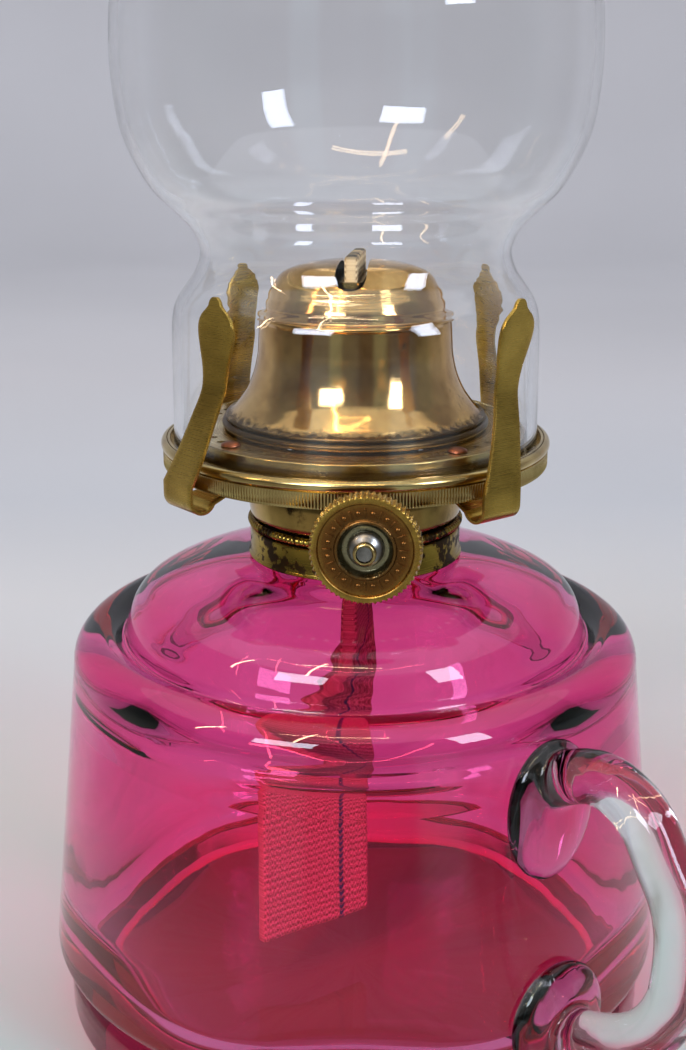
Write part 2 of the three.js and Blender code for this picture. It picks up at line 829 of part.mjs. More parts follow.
// Prongs: the strip runs out from its rivet, loops under the band and rises to the glass
const prongRootHeight = plateBottom - seatGap - prong.thickness / 2;
const riseShares = [[0.3, 0.35, 0.4], [0.62, 0.66, 0.8], [0.9, 0.88, 1]];
const tipShares = [[0.12, 0.2, 0.15], [0.34, 0.4, 0.65], [0.6, 0.58, 1], [0.75, 0.7, 0.95]];
const pointShares = [
  [0.85, 0.79, 0.2], [0.92, 0.86, 0.52], [0.95, 0.91, 0.7], [0.98, 0.965, 0.8], [1, 1, 0.93],
];
function withWidth(points, width) {
  return points.map((point) => [...point, width]);
}
function withLean(points) {
  const start = band.bottom + prong.loopDrop / 2;
  return points.map(([r, height, width]) => {
    const share = (height - start) / (prong.top - start);
    return [r, height, width, share * (2 - share)];
  });
}
function prongPath(touchStandOff, tipFlare) {
  const touchRadius = chimney.footRadius + seatGap / 2 + prong.thickness / 2 + touchStandOff;
  const loopRadius = (prong.loopOuter - prong.loopInner) / 2;
  const loopCentre = (prong.loopOuter + prong.loopInner) / 2;
  const loopHeight = band.bottom - prong.loopDrop + loopRadius;
  const kneeRound = prong.thickness * 2;
  const kneeInner = prong.kneeRadius - kneeRound;
  const stemLow = band.bottom - seatGap - prong.thickness;
  const stemOuter = prong.kneeRadius + kneeRound;
  return [
    ...withWidth([
      [prong.rootInner, prongRootHeight],
      [kneeInner, prongRootHeight],
      ...arc(kneeInner, prongRootHeight - kneeRound, kneeRound, 60, 0, 2),
      [prong.kneeRadius, stemLow + kneeRound],
      ...arc(stemOuter, stemLow + kneeRound, kneeRound, 210, 255, 1),
    ], prong.rootWidth),
    ...withWidth([
      ...arc(loopCentre, loopHeight, loopRadius, 205, 360, 6),
      [prong.loopOuter, band.bottom + prong.loopDrop / 2],
    ], prong.footWidth),
    ...withLean([
      ...riseShares.map(([inward, up, narrow]) => [
        between(prong.loopOuter, touchRadius, inward),
        between(band.bottom, prong.touchHeight, up),
        between(prong.footWidth, prong.waistWidth, narrow),
      ]),
      [touchRadius, prong.touchHeight, prong.waistWidth],
      ...tipShares.map(([out, up, widen]) => [
        touchRadius + tipFlare * out,
        between(prong.touchHeight, prong.top, up),
        between(prong.waistWidth, prong.headWidth, widen),
      ]),
      ...pointShares.map(([out, up, close]) => [
        touchRadius + tipFlare * out,
        between(prong.touchHeight, prong.top, up),
        between(prong.headWidth, prong.thickness, close),
      ]),
    ]),
  ];
}
function prongGeometry(touchStandOff, tipFlare, lean) {
  const path = prongPath(touchStandOff, tipFlare);
  const half = prong.thickness / 2;
  const inner = offset(path, half);
  const outer = offset(path, -half);
  const upright = new THREE.Vector3(0, 0, 1);
  const loops = path.map(([, , width, leanShare = 0], i) => {
    const corners = [[outer[i], -1], [outer[i], 1], [inner[i], 1], [inner[i], -1]];
    return corners.map(([[r, z], side]) => new THREE.Vector3(r, (side * width) / 2, z)
      .applyAxisAngle(upright, radians(lean * leanShare)));
  });
  const hole = rodAlongZ(
    rivet.shankRadius + seatGap,
    prongRootHeight - cutOverrun,
    prongRootHeight + cutOverrun,
    facets.rivet,
  );
  hole.translate(prong.rivetCircle, 0, 0);
  return shape(solid(loft(loops)).subtract(solid(hole)));
}
const rivetTop = gallery.plateTop + fitGap;
const rivetTail = prongRootHeight - prong.thickness / 2 - seatGap;
const rivetTailShares = [[0, 0.7], [0.85, 0.6], [0.85, 0]];
const rivetHeadShares = [[1, 0], [0.7, 0.75], [0, 1]];
const rivetOutline = [
  ...spread([0, rivetTail], [rivet.headRadius, rivetTail - rivet.headHeight], rivetTailShares),
  [rivet.shankRadius, rivetTail],
  [rivet.shankRadius, rivetTop],
  ...spread([0, rivetTop], [rivet.headRadius, rivetTop + rivet.headHeight], rivetHeadShares),
];
prong.angles.forEach((angle, i) => {
  const turned = new THREE.Group();
  turned.rotation.z = radians(angle);
  burnerGroup.add(turned);
  const strip = prongGeometry(prong.touchStandOffs[i], prong.tipFlares[i], prong.leans[i]);
  piece(`prong_${i + 1}`, strip, materials.brass, turned);
  const rivetGeometry = revolve(rivetOutline, facets.rivet, false);
  piece(`prong_rivet_${i + 1}`, rivetGeometry, materials.darkBrass, turned)
    .position.x = prong.rivetCircle;
});

// Deflector: base beads, flared bell, sharp ledge, upper tier and domed top with its slot
const deflectorBottom = gallery.plateTop + seatGap;
const bellStart = deflectorBottom + deflector.beadHeight;
const bellTop = deflectorBottom + deflector.bellHeight;
const ledgeTop = bellTop + deflector.ledgeHeight;
const deflectorTop = deflectorBottom + deflector.height;
const baseShares = [[1, 0], [1.03, 0.16], [0.99, 0.36], [0.5, 0.46], [0.1, 0.66], [-0.2, 0.9]];
const bellShares = [
  [0.28, 0.03], [0.5, 0.14], [0.67, 0.25], [0.84, 0.42], [0.93, 0.62], [0.98, 0.8], [1, 1],
];
const ledgeShares = [[0, 0.6], [0.4, 1]];
const tierShares = [
  [0, 0], [0.02, 0.2], [0.06, 0.35], [0.13, 0.55], [0.26, 0.75], [0.46, 0.9], [0.75, 0.98], [1, 1],
];
const deflectorOutside = [
  ...baseShares.map(([out, up]) => [
    between(deflector.beadRadius, deflector.baseRadius, out),
    between(deflectorBottom, bellStart, up),
  ]),
  ...spread([deflector.beadRadius, bellStart], [deflector.bellTopRadius, bellTop], bellShares),
  ...spread([deflector.ledgeRadius, bellTop], [deflector.tierRadius, ledgeTop], ledgeShares),
  ...spread([deflector.tierRadius, ledgeTop + deflector.ledgeHeight], [0, deflectorTop], tierShares),
];
const deflectorInside = offset(deflectorOutside, deflector.sheet)
  .filter((_, i) => i > baseShares.length - 2 && i % 2)
  .reverse();
const deflectorOutline = [
  ...deflectorOutside,
  [0, deflectorTop - deflector.sheet],
  ...deflectorInside.filter(([r]) => r > deflector.sheet),
  [deflector.baseRadius - deflector.sheet, deflectorBottom],
];
function closedOnAxis(outline, segments) {
  const first = outline.findIndex(([r]) => r === 0);
  const ordered = [...outline.slice(first + 1), ...outline.slice(0, first + 1)];
  return revolve(ordered, segments, false);
}
const slotBottom = deflectorTop - deflector.slotDepth;
const slotRound = deflector.slotWidth / 2;
let deflectorBody = solid(closedOnAxis(deflectorOutline, facets.dome));
deflectorBody = deflectorBody.subtract(solid(block(
  [-deflector.ledgeRadius, -slotRound, slotBottom + slotRound],
  [deflector.ledgeRadius, slotRound, deflectorTop + cutOverrun],
)));
const slotFloor = rodAlongX(
  slotRound,
  -deflector.ledgeRadius,
  deflector.ledgeRadius,
  facets.pin,
);
slotFloor.translate(0, 0, slotBottom + slotRound);
deflectorBody = deflectorBody.subtract(solid(slotFloor));
piece("deflector", shape(deflectorBody), materials.brass);

// Wick: flat woven cotton, straight through the tube, then drifting and turning in the font
function wickLoop(height) {
  const turning = (wick.straightTo - height) / (wick.straightTo - wick.turnedBy);
  const share = THREE.MathUtils.clamp(turning, 0, 1);
  const ease = share * share * (3 - 2 * share);
  const turn = radians(wick.endTwist * ease);
  const along = new THREE.Vector3(Math.cos(turn), -Math.sin(turn), 0);
  const across = new THREE.Vector3(Math.sin(turn), Math.cos(turn), 0);
  const centre = new THREE.Vector3(wick.endFront * ease, wick.endRight * ease, height);
  return [[-1, -1], [1, -1], [1, 1], [-1, 1]].map(([a, b]) => centre.clone()
    .addScaledVector(along, (a * wick.width) / 2)
    .addScaledVector(across, (b * wick.thickness) / 2));
}
const wickSteps = 6;
const wickHeights = [
  wick.bottom,
  ...Array.from({ length: wickSteps }, (_, i) => between(wick.turnedBy, wick.straightTo, i / wickSteps)),
  wick.straightTo,
  wick.top,
];
piece("wick", loft(wickHeights.map(wickLoop)), materials.cotton);

// Chimney outline: outside from foot to top, then the same outline moved in by the wall
const chimneyBottom = gallery.seatHeight + seatGap;
const shoulder = [chimney.shoulderRadius, chimneyBottom + chimney.shoulderHeight];
const neck = [chimney.neckRadius, chimneyBottom + chimney.neckHeight];
const bulb = [chimney.bulbRadius, chimneyBottom + chimney.bulbHeight];
const chimneyTop = [chimney.topRadius, chimneyBottom + chimney.height];
const shoulderShares = [[0, 0], [0.07, 0.29], [0.22, 0.44], [0.4, 0.54], [0.64, 0.66], [0.86, 0.79]];
const bulbShares = [
  [0, 0], [0.1, 0.11], [0.32, 0.21], [0.56, 0.31], [0.77, 0.46], [0.91, 0.61], [0.98, 0.8],
];
const taperShares = [
  [0, 0], [0.03, 0.06], [0.14, 0.13], [0.32, 0.2], [0.52, 0.29], [0.7, 0.4], [0.84, 0.56],
  [0.94, 0.77], [1, 1],
];
const chimneyOutside = [
  [chimney.footRadius, chimneyBottom],
  ...spread(shoulder, neck, shoulderShares),
  ...spread(neck, bulb, bulbShares),
  ...spread(bulb, chimneyTop, taperShares),
];
const chimneyInside = offset(chimneyOutside, chimney.wall).filter((_, i) => i % 2 === 0);
chimneyInside[0][1] = chimneyBottom;
chimneyInside[chimneyInside.length - 1][1] = chimneyTop[1];
const chimneyOutline = [...chimneyOutside, ...chimneyInside.reverse()];
piece("chimney", revolve(chimneyOutline, facets.glass), materials.clear);

export default lamp;
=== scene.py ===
import json
import math

import bmesh
import bpy
from mathutils import Matrix, Vector


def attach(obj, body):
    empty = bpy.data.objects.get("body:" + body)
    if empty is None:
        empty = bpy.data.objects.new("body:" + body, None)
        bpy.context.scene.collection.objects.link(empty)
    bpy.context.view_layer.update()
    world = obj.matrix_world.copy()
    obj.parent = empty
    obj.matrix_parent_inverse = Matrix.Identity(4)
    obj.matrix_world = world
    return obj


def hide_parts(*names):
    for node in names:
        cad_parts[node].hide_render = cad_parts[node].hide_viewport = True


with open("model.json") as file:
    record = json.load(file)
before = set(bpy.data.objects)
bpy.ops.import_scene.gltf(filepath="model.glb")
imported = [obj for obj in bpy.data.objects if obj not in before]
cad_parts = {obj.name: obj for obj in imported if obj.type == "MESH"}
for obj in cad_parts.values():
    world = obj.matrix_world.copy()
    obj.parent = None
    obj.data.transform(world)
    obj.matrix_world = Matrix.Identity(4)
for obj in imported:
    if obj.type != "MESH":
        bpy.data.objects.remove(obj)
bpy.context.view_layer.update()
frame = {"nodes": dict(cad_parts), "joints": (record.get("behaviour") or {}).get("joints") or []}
print("frame loaded")

# Finger lamp with a cranberry font, a flat-wick burner and a bulb chimney.
# Outlines are (radius, height) in millimetres from the lamp's axis and the table.
mm = 0.001
# points nearer to each other than this are welded into one
weld = 0.0005


def jointNamed(name):
    return next(joint for joint in frame["joints"] if joint["name"] == name)


# The burner is turned in its screw thread: its own X axis runs along the lift spindle
spindleAxis = jointNamed("knob_turn")["axis"]
burnerTurn = math.atan2(-spindleAxis[1], -spindleAxis[0])
spindlePlace = [value / mm for value in jointNamed("knob_turn")["pos_m"]]


# Colours, nodes and materials

def hexColor(text):
    parts = [int(text[i:i + 2], 16) / 255 for i in (1, 3, 5)]
    linear = [p / 12.92 if p <= 0.04045 else ((p + 0.055) / 1.055) ** 2.4 for p in parts]
    return (*linear, 1)


def addNode(tree, kind, inputs=None, ramp=None, **settings):
    # a node given as an input stands for its first output
    node = tree.nodes.new("ShaderNode" + kind)
    for name, value in settings.items():
        setattr(node, name, value)
    if ramp:
        elements = node.color_ramp.elements
        elements[0].position = ramp[0][0]
        elements[1].position = ramp[-1][0]
        for place, color in ramp[1:-1]:
            elements.new(place)
        for element, (place, color) in zip(elements, ramp):
            element.color = hexColor(color) if isinstance(color, str) else (color, color, color, 1)
    for name, value in (inputs or {}).items():
        if isinstance(value, bpy.types.Node):
            value = value.outputs[0]
        if isinstance(value, bpy.types.NodeSocket):
            tree.links.new(value, node.inputs[name])
        else:
            node.inputs[name].default_value = value
    return node


def newMaterial(name):
    material = bpy.data.materials.new(name)
    material.use_nodes = True
    material.node_tree.nodes.clear()
    return material, material.node_tree


def dress(piece, material):
    piece.data.materials.clear()
    piece.data.materials.append(material)


# Outlines and turned shapes

def arcLine(centreR, centreZ, radius, start, end, steps):
    turns = [math.radians(start + (end - start) * i / steps) for i in range(steps + 1)]
    return [(centreR + radius * math.cos(t), centreZ + radius * math.sin(t)) for t in turns]


def between(a, b, share):
    return a + (b - a) * share


def spread(start, end, shares):
    return [(between(start[0], end[0], r), between(start[1], end[1], z)) for r, z in shares]


def smoothLine(points, steps=6):
    # a curve through every point, a few short steps between each two
    line = []
    last = len(points) - 1
    for i in range(last):
        a, b, c, d = (Vector(points[min(max(k, 0), last)]) for k in (i - 1, i, i + 1, i + 2))
        for k in range(steps):
            t = k / steps
            bend = 2 * b + (c - a) * t + (2 * a - 5 * b + 4 * c - d) * t * t
            bend += (3 * b - a - 3 * c + d) * t ** 3
            line.append(tuple(bend / 2))
    return [*line, tuple(points[-1])]


def movedIn(line, distance):
    # the same line, moved square to itself
    moved = []
    for i, point in enumerate(line):
        before, after = Vector(line[max(i - 1, 0)]), Vector(line[min(i + 1, len(line) - 1)])
        along = (after - before).normalized()
        moved.append((point[0] - along.y * distance, point[1] + along.x * distance))
    return moved


def turned(line, steps, closed=True):
    mesh = bmesh.new()
    verts = [mesh.verts.new((r, 0, z)) for r, z in line]
    edges = [mesh.edges.new(pair) for pair in zip(verts, verts[1:])]
    if closed:
        edges.append(mesh.edges.new((verts[-1], verts[0])))
    bmesh.ops.spin(
        mesh, geom=verts + edges, cent=(0, 0, 0), axis=(0, 0, 1), dvec=(0, 0, 0),
        angle=2 * math.pi, steps=steps, use_merge=True,
    )
    bmesh.ops.remove_doubles(mesh, verts=mesh.verts, dist=weld)
    bmesh.ops.dissolve_degenerate(mesh, edges=mesh.edges, dist=weld)
    bmesh.ops.recalc_face_normals(mesh, faces=mesh.faces)
    return mesh


def ripple(mesh, count, depth, isPart, slant=0):
    # cuts grooves round a turned shape by drawing points in towards the axis
    for vert in mesh.verts:
        radius = math.hypot(vert.co.x, vert.co.y)
        if isPart(radius, vert.co.z):
            wave = math.sin(count * math.atan2(vert.co.y, vert.co.x) + slant * vert.co.z)
            grow = (radius - depth * (0.5 + 0.5 * wave)) / radius
            vert.co.x *= grow
            vert.co.y *= grow


def placed(name, data):
    piece = bpy.data.objects.new(name, data)
    bpy.context.scene.collection.objects.link(piece)
    return piece


def asObject(name, mesh):
    data = bpy.data.meshes.new(name)
    mesh.to_mesh(data)
    mesh.free()
    return placed(name, data)


def applied(piece):
    # bakes the piece's modifiers into its mesh
    depsgraph = bpy.context.evaluated_depsgraph_get()
    data = bpy.data.meshes.new_from_object(piece.evaluated_get(depsgraph))
    piece.modifiers.clear()
    piece.data = data


def cutOut(piece, tool):
    # cuts the tool's form out of the piece and removes the tool
    modifier = piece.modifiers.new("cut", "BOOLEAN")
    modifier.operation = "DIFFERENCE"
    modifier.solver = "EXACT"
    modifier.object = tool
    applied(piece)
    bpy.data.objects.remove(tool)


def addPin(mesh, radius, depth, segments, matrix):
    bmesh.ops.create_cone(
        mesh, segments=segments, radius1=radius, radius2=radius, depth=depth, cap_ends=True,
        matrix=matrix,
    )


def stripMesh(rows):
    # a strip through rows of points: each row is extruded from the one before
    mesh = bmesh.new()
    row = [mesh.verts.new(place) for place in rows[0]]
    edges = [mesh.edges.new(pair) for pair in zip(row, row[1:])]
    made = [row]
    for places in rows[1:]:
        fresh = bmesh.ops.extrude_edge_only(mesh, edges=edges)["geom"]
        edges = [part for part in fresh if isinstance(part, bmesh.types.BMEdge)]
        ends = {part for part in fresh if isinstance(part, bmesh.types.BMVert)}
        row = [
            next(edge.other_vert(vert) for edge in vert.link_edges if edge.other_vert(vert) in ends)
            for vert in row
        ]
        for vert, place in zip(row, places):
            vert.co = place
        made.append(row)
    bmesh.ops.recalc_face_normals(mesh, faces=mesh.faces)
    return mesh, made


def stiffen(strip, thickness):
    # gives the strip its sheet thickness, half to each side
    solid = strip.modifiers.new("thick", "SOLIDIFY")
    solid.thickness = thickness
    solid.offset = 0


def roundEdges(strip, width, segments):
    # rounds the strip's cut edges and leaves its bends alone
    bevel = strip.modifiers.new("soft", "BEVEL")
    bevel.width = width
    bevel.segments = segments
    bevel.limit_method = "ANGLE"
    bevel.angle_limit = math.radians(50)


burnerFrame = Matrix.Rotation(burnerTurn, 4, "Z")
lampFrame = Matrix.Identity(4)


def settle(piece, body, material, nodes, ownFrame=burnerFrame, sharp=38):
    # from millimetres in its own frame to metres in the lamp's, then onto its body
    piece.data.transform(Matrix.Scale(mm, 4) @ ownFrame)
    piece.data.shade_smooth()
    piece.data.set_sharp_from_angle(angle=math.radians(sharp))
    dress(piece, material)
    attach(piece, body)
    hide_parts(*nodes)


# Camera, measured from the photograph's ellipses: heights and distances in metres
camera = dict(lens=51.57, sensor=36, away=0.2594, height=0.1706, azimuth=53.13, tilt=16.92, turn=0.48)
view = placed("view", bpy.data.cameras.new("view"))
bpy.context.scene.camera = view
view.data.lens = camera["lens"]
view.data.sensor_width = camera["sensor"]
viewTurn = math.radians(camera["azimuth"])
towards = Vector((math.sin(viewTurn), -math.cos(viewTurn), 0))
rightward = Vector((math.cos(viewTurn), math.sin(viewTurn), 0))
view.location = towards * camera["away"] + Vector((0, 0, camera["height"]))
view.rotation_euler = (math.radians(90 - camera["tilt"]), 0, viewTurn + math.radians(camera["turn"]))
print("camera placed")


# Stage: a wide floor that sweeps up into a pale wall all round
stage = dict(
    flat=1.15, sweep=0.5, wall=1.5, steps=96,
    # painted shade: room is the dark colour painted on the sheet from roomFrom to roomTo metres off the
    # lamp's axis outwards, standing in for an unlit room in front
    room="#6f665c", roomFrom=0.1, roomTo=0.17, foldShade=0.45, foldShadeShare=0.05,
    # painted shade: how pale the sheet is painted, from far behind the lamp (metres, towards the viewer)
    # to just in front; it goes darker and cooler towards the viewer, standing in for the dimmer light near
    # and in front of the lamp and offsetting the pink light that the glass throws on it
    far=-0.6, near=0.2,
    paintedShadeTones=[
        (0, "#d3d3d7"), (0.33, "#c5c9cf"), (0.48, "#cbcdcf"), (0.585, "#c5cacc"), (0.66, "#bcc6c3"),
        (0.745, "#b1c1bf"), (0.775, "#a9bbb8"), (0.875, "#9eadac"),
    ],
    # painted light and shade: how bright the painted room in front is, by bearing from the viewer, right
    # positive, in degrees; the bright bands are painted light seen in reflections on the brass and glass
    paintedRoomBands=[
        (-180, 1), (-112, 1), (-100, 0.4), (-60, 0.3), (-31, 0.12), (-28, 1), (-17, 1), (-14, 0.3),
        (1, 0.34), (4, 0.02), (19, 0.02), (22, 1), (34, 1), (38, 0.08), (70, 0.15), (77, 0.5),
        (114, 0.5), (124, 1), (180, 1),
    ],
)


def stageMaterial():
    # brushed cotton sheet: pale grey with painted shade, darker and cooler towards the viewer, painted
    # fold shade, and a dark room painted in front with painted bright bands
    material, tree = newMaterial("cotton backdrop")
    where = addNode(tree, "TexCoord").outputs["Object"]
    front = addNode(
        tree, "VectorMath", {0: where, 1: tuple(towards)}, operation="DOT_PRODUCT",
    ).outputs["Value"]
    side = addNode(
        tree, "VectorMath", {0: where, 1: tuple(rightward)}, operation="DOT_PRODUCT",
    ).outputs["Value"]
    # painted shade: darker and cooler towards the viewer
    depth = addNode(tree, "MapRange", {0: front, 1: stage["far"], 2: stage["near"]})
    pale = addNode(tree, "ValToRGB", {0: depth}, ramp=stage["paintedShadeTones"])
    # painted shade: the dark room colour painted on the sheet away from the lamp, with painted bright
    # bands at given bearings
    bearing = addNode(tree, "Math", {0: side, 1: front}, operation="ARCTAN2")
    turn = addNode(tree, "MapRange", {0: bearing, 1: -math.pi, 2: math.pi})
    bright = addNode(
        tree, "ValToRGB", {0: turn},
        ramp=[((degrees + 180) / 360, share) for degrees, share in stage["paintedRoomBands"]],
    )
    flatPlace = addNode(tree, "CombineXYZ", {0: front, 1: side})
    away = addNode(tree, "VectorMath", {0: flatPlace}, operation="LENGTH")
    beyond = addNode(
        tree, "MapRange", {0: away.outputs["Value"], 1: stage["roomFrom"], 2: stage["roomTo"]},
        interpolation_type="SMOOTHSTEP",
    )
    unlit = addNode(tree, "Math", {0: 1.0, 1: bright}, operation="SUBTRACT")
    dim = addNode(tree, "Math", {0: unlit, 1: beyond}, operation="MULTIPLY")
    # painted shade of soft folds: broad patches of the sheet painted a little lighter and darker
    foldShade = addNode(tree, "TexNoise", {"Vector": where, "Scale": 1 / stage["foldShade"], "Detail": 3.0})
    shade = addNode(
        tree, "MapRange", {
            0: foldShade.outputs["Fac"], 1: 0.3, 2: 0.7, 3: 1 - stage["foldShadeShare"], 4: 1 + stage["foldShadeShare"],
        },
    )
    foldShaded = addNode(tree, "VectorMath", {0: pale, "Scale": shade}, operation="SCALE")
    colour = addNode(tree, "Mix", {0: dim, 6: foldShaded, 7: hexColor(stage["room"])}, data_type="RGBA")
    shader = addNode(tree, "BsdfPrincipled", {"Base Color": colour.outputs[2], "Roughness": 0.9})
    addNode(tree, "OutputMaterial", {"Surface": shader})
    return material


outer = stage["flat"] + stage["sweep"]
stageLine = [
    (0, 0), *arcLine(stage["flat"], stage["sweep"], stage["sweep"], -90, 0, 16), (outer, stage["wall"]),
]
floor = asObject("floor", turned(stageLine, stage["steps"], closed=False))
bmeshFloor = bmesh.new()
bmeshFloor.from_mesh(floor.data)
bmesh.ops.reverse_faces(bmeshFloor, faces=bmeshFloor.faces)
bmeshFloor.to_mesh(floor.data)
bmeshFloor.free()
floor.data.shade_smooth()
dress(floor, stageMaterial())

# Soft studio light: a pale sky, two tall windows and three warm ceiling tubes.
# Each place is a direction from the lamp: to the right, up and towards the viewer.
windows = dict(
    right=dict(way=(0.65, 0.43, 0.62), away=1.15, size=(0.26, 0.5), power=6, color="#dfe9ff"),
    left=dict(way=(-0.41, 0.46, 0.79), away=1.15, size=(0.46, 0.3), power=6.4, color="#e6edff"),
    tubeOne=dict(way=(-0.27, 0.77, 0.58), away=1.0, size=(0.02, 0.6), power=1.5, color="#ffdcae"),
    tubeTwo=dict(way=(-0.1, 0.86, 0.5), away=1.0, size=(0.6, 0.02), power=1.5, color="#ffdcae"),
    tubeThree=dict(way=(-0.74, 0.56, 0.36), away=1.0, size=(0.02, 0.4), power=1.1, color="#ffdcae"),
)
lampMiddle = Vector((0, 0, 0.12))
for name, window in windows.items():
    lightData = bpy.data.lights.new(name, "AREA")
    lightData.shape = "RECTANGLE"
    lightData.size, lightData.size_y = window["size"]
    lightData.energy = window["power"]
    lightData.color = hexColor(window["color"])[:3]
    light = placed(name, lightData)
    right, up, near = window["way"]
    way = (rightward * right + Vector((0, 0, up)) + towards * near).normalized()
    light.location = lampMiddle + way * window["away"]
    light.rotation_euler = way.to_track_quat("Z", "Y").to_euler()

sky = dict(color="#e2e5ec", strength=1.06)
world = bpy.data.worlds.new("pale room")
bpy.context.scene.world = world
world.use_nodes = True
world.node_tree.nodes.clear()
skyShader = addNode(
    world.node_tree, "Background",
    {"Color": hexColor(sky["color"]), "Strength": sky["strength"]},
)
addNode(world.node_tree, "OutputWorld", {"Surface": skyShader})
bpy.context.scene.view_settings.view_transform = "Standard"
print("stage and lights placed")


# Glass

def glassMaterial(name, tint, density, roughness=0.0, ripples=None, skin="#ffffff", shade="#ffffff"):
    # skin colours the light once for each wall it passes, tint colours it along its way in the glass
    material, tree = newMaterial(name)
    inputs = {
        "Base Color": hexColor(skin), "Roughness": roughness, "IOR": 1.5, "Transmission Weight": 1.0,
    }
    if ripples:
        where = addNode(tree, "TexCoord").outputs["Object"]
        wave = addNode(
            tree, "TexNoise",
            {"Vector": where, "Scale": 1 / (ripples["size"] * mm), "Detail": 2.0},
        )
        bump = addNode(
            tree, "Bump",
            {
                "Strength": ripples["strength"], "Distance": ripples["depth"] * mm,
                "Height": wave.outputs["Fac"],
            },
        )
        inputs["Normal"] = bump
    glass = addNode(tree, "BsdfPrincipled", inputs)
    clear = addNode(tree, "BsdfTransparent", {"Color": hexColor(shade)})
    rays = addNode(tree, "LightPath")
    # lamps reach what stands behind and inside the glass
    shader = addNode(tree, "MixShader", {0: rays.outputs["Is Shadow Ray"], 1: glass, 2: clear})
    outputs = {"Surface": shader}
    if density:
        body = addNode(tree, "VolumeAbsorption", {"Color": hexColor(tint), "Density": density})
        outputs["Volume"] = body
    addNode(tree, "OutputMaterial", outputs)
    return material


# ruby skin over clear glass: each wall gives one even step of pink, and thick parts go a little darker
cranberryGlass = glassMaterial(
    "cranberry blown glass", "#f900c4", 80, ripples=dict(size=16, depth=1.5, strength=0.06),
    skin="#ffaed8", shade="#ffc8e0",
)
# hand-drawn clear glass with a faint grey cast and soft waves along the rod
rodGlass = glassMaterial(
    "clear drawn glass", "#dfe8e6", 14, ripples=dict(size=9, depth=0.6, strength=0.12),
)
# thin mould-blown lead-free glass: nearly invisible but for its rims and the windows in it
chimneyGlass = glassMaterial(
    "clear blown chimney glass", "#e6eeec", 20, ripples=dict(size=22, depth=1.2, strength=0.05),
)


# Brass

def turnedPlace(tree):
    # radius and height round the burner's axis, in metres
    where = addNode(tree, "TexCoord").outputs["Object"]
    split = addNode(tree, "SeparateXYZ", {0: where})
    flat = addNode(tree, "CombineXYZ", {0: split.outputs[0], 1: split.outputs[1]})
    radius = addNode(tree, "VectorMath", {0: flat}, operation="LENGTH")
    return where, radius.outputs["Value"], split.outputs[2]


# clouds, spots, ragged edges and polishing lines: their sizes in millimetres
brass = dict(
    cloud=9, clouds=(0.35, 0.68), spots=4, ragged=1.1, lines=0.12, lineDepth=0.02, tarnishRough=0.25,
)


def brassMaterial(name, bright, dull, dark, roughness, patches, lines=0.35, darkFootBand=None):
    # bright and dull are the polished and handled tones, dark is the tarnish in the patches
    material, tree = newMaterial(name)
    where, radius, height = turnedPlace(tree)
    cloud = addNode(tree, "TexNoise", {"Vector": where, "Scale": 1 / (brass["cloud"] * mm), "Detail": 4.0})
    tone = addNode(
        tree, "ValToRGB", {0: cloud.outputs["Fac"]}, ramp=list(zip(brass["clouds"], (bright, dull))),
    )
    spots = addNode(
        tree, "TexNoise",
        {"Vector": where, "Scale": 1 / (brass["spots"] * mm), "Detail": 8.0, "Roughness": 0.65},
    )
    tarnish = addNode(
        tree, "MapRange", {0: spots.outputs["Fac"], 1: patches[0], 2: patches[1]},
        interpolation_type="SMOOTHSTEP",
    )
    if darkFootBand:
        # a darker band in the angle at the foot, with a ragged upper edge
        edge = addNode(
            tree, "TexNoise", {"Vector": where, "Scale": 1 / (brass["ragged"] * mm), "Detail": 3.0},
        )
        ragged = addNode(
            tree, "Math", {0: edge.outputs["Fac"], 1: darkFootBand["ragged"] * mm, 2: height},
            operation="MULTIPLY_ADD",
        )
        rise = addNode(
            tree, "MapRange",
            {0: ragged, 1: darkFootBand["top"] * mm, 2: (darkFootBand["top"] - darkFootBand["fade"]) * mm, 4: darkFootBand["share"]},
            interpolation_type="SMOOTHSTEP",
        )
        fall = addNode(
            tree, "MapRange",
            {0: height, 1: (darkFootBand["bottom"] - darkFootBand["fade"]) * mm, 2: darkFootBand["bottom"] * mm},
        )
        inBand = addNode(tree, "Math", {0: rise, 1: fall}, operation="MULTIPLY")
        tarnish = addNode(tree, "Math", {0: tarnish, 1: inBand}, operation="MAXIMUM")
    color = addNode(tree, "Mix", {0: tarnish, 6: tone, 7: hexColor(dark)}, data_type="RGBA")
    # fine rings left by the polishing cloth, drawn a little coarser than life so that they show
    rings = addNode(tree, "CombineXYZ", {0: radius, 1: 0.0, 2: height})
    stretch = addNode(
        tree, "VectorMath", {0: rings, 1: (1 / (brass["lines"] * mm),) * 3}, operation="MULTIPLY",
    )
    scratch = addNode(tree, "TexNoise", {"Vector": stretch, "Scale": 1.0, "Detail": 2.0})
    rough = addNode(
        tree, "MapRange",
        {0: scratch.outputs["Fac"], 1: 0.3, 2: 0.7, 3: roughness[0], 4: roughness[1]},
    )
    roughTarnish = addNode(
        tree, "Math", {0: tarnish, 1: brass["tarnishRough"], 2: rough}, operation="MULTIPLY_ADD",
    )
    bump = addNode(
        tree, "Bump",
        {
            "Strength": lines, "Distance": brass["lineDepth"] * mm, "Height": scratch.outputs["Fac"],
        },
    )
    shader = addNode(
        tree, "BsdfPrincipled", {
            "Base Color": color.outputs[2], "Metallic": 1.0, "Roughness": roughTarnish,
            "Normal": bump,
        },
    )
    addNode(tree, "OutputMaterial", {"Surface": shader})
    return material


# polished sheet brass that has been handled: gold with brown clouds
handledBrass = brassMaterial(
    "polished sheet brass", "#d0b87c", "#9c834f", "#4c3b22", (0.13, 0.26), (0.6, 0.78),
)
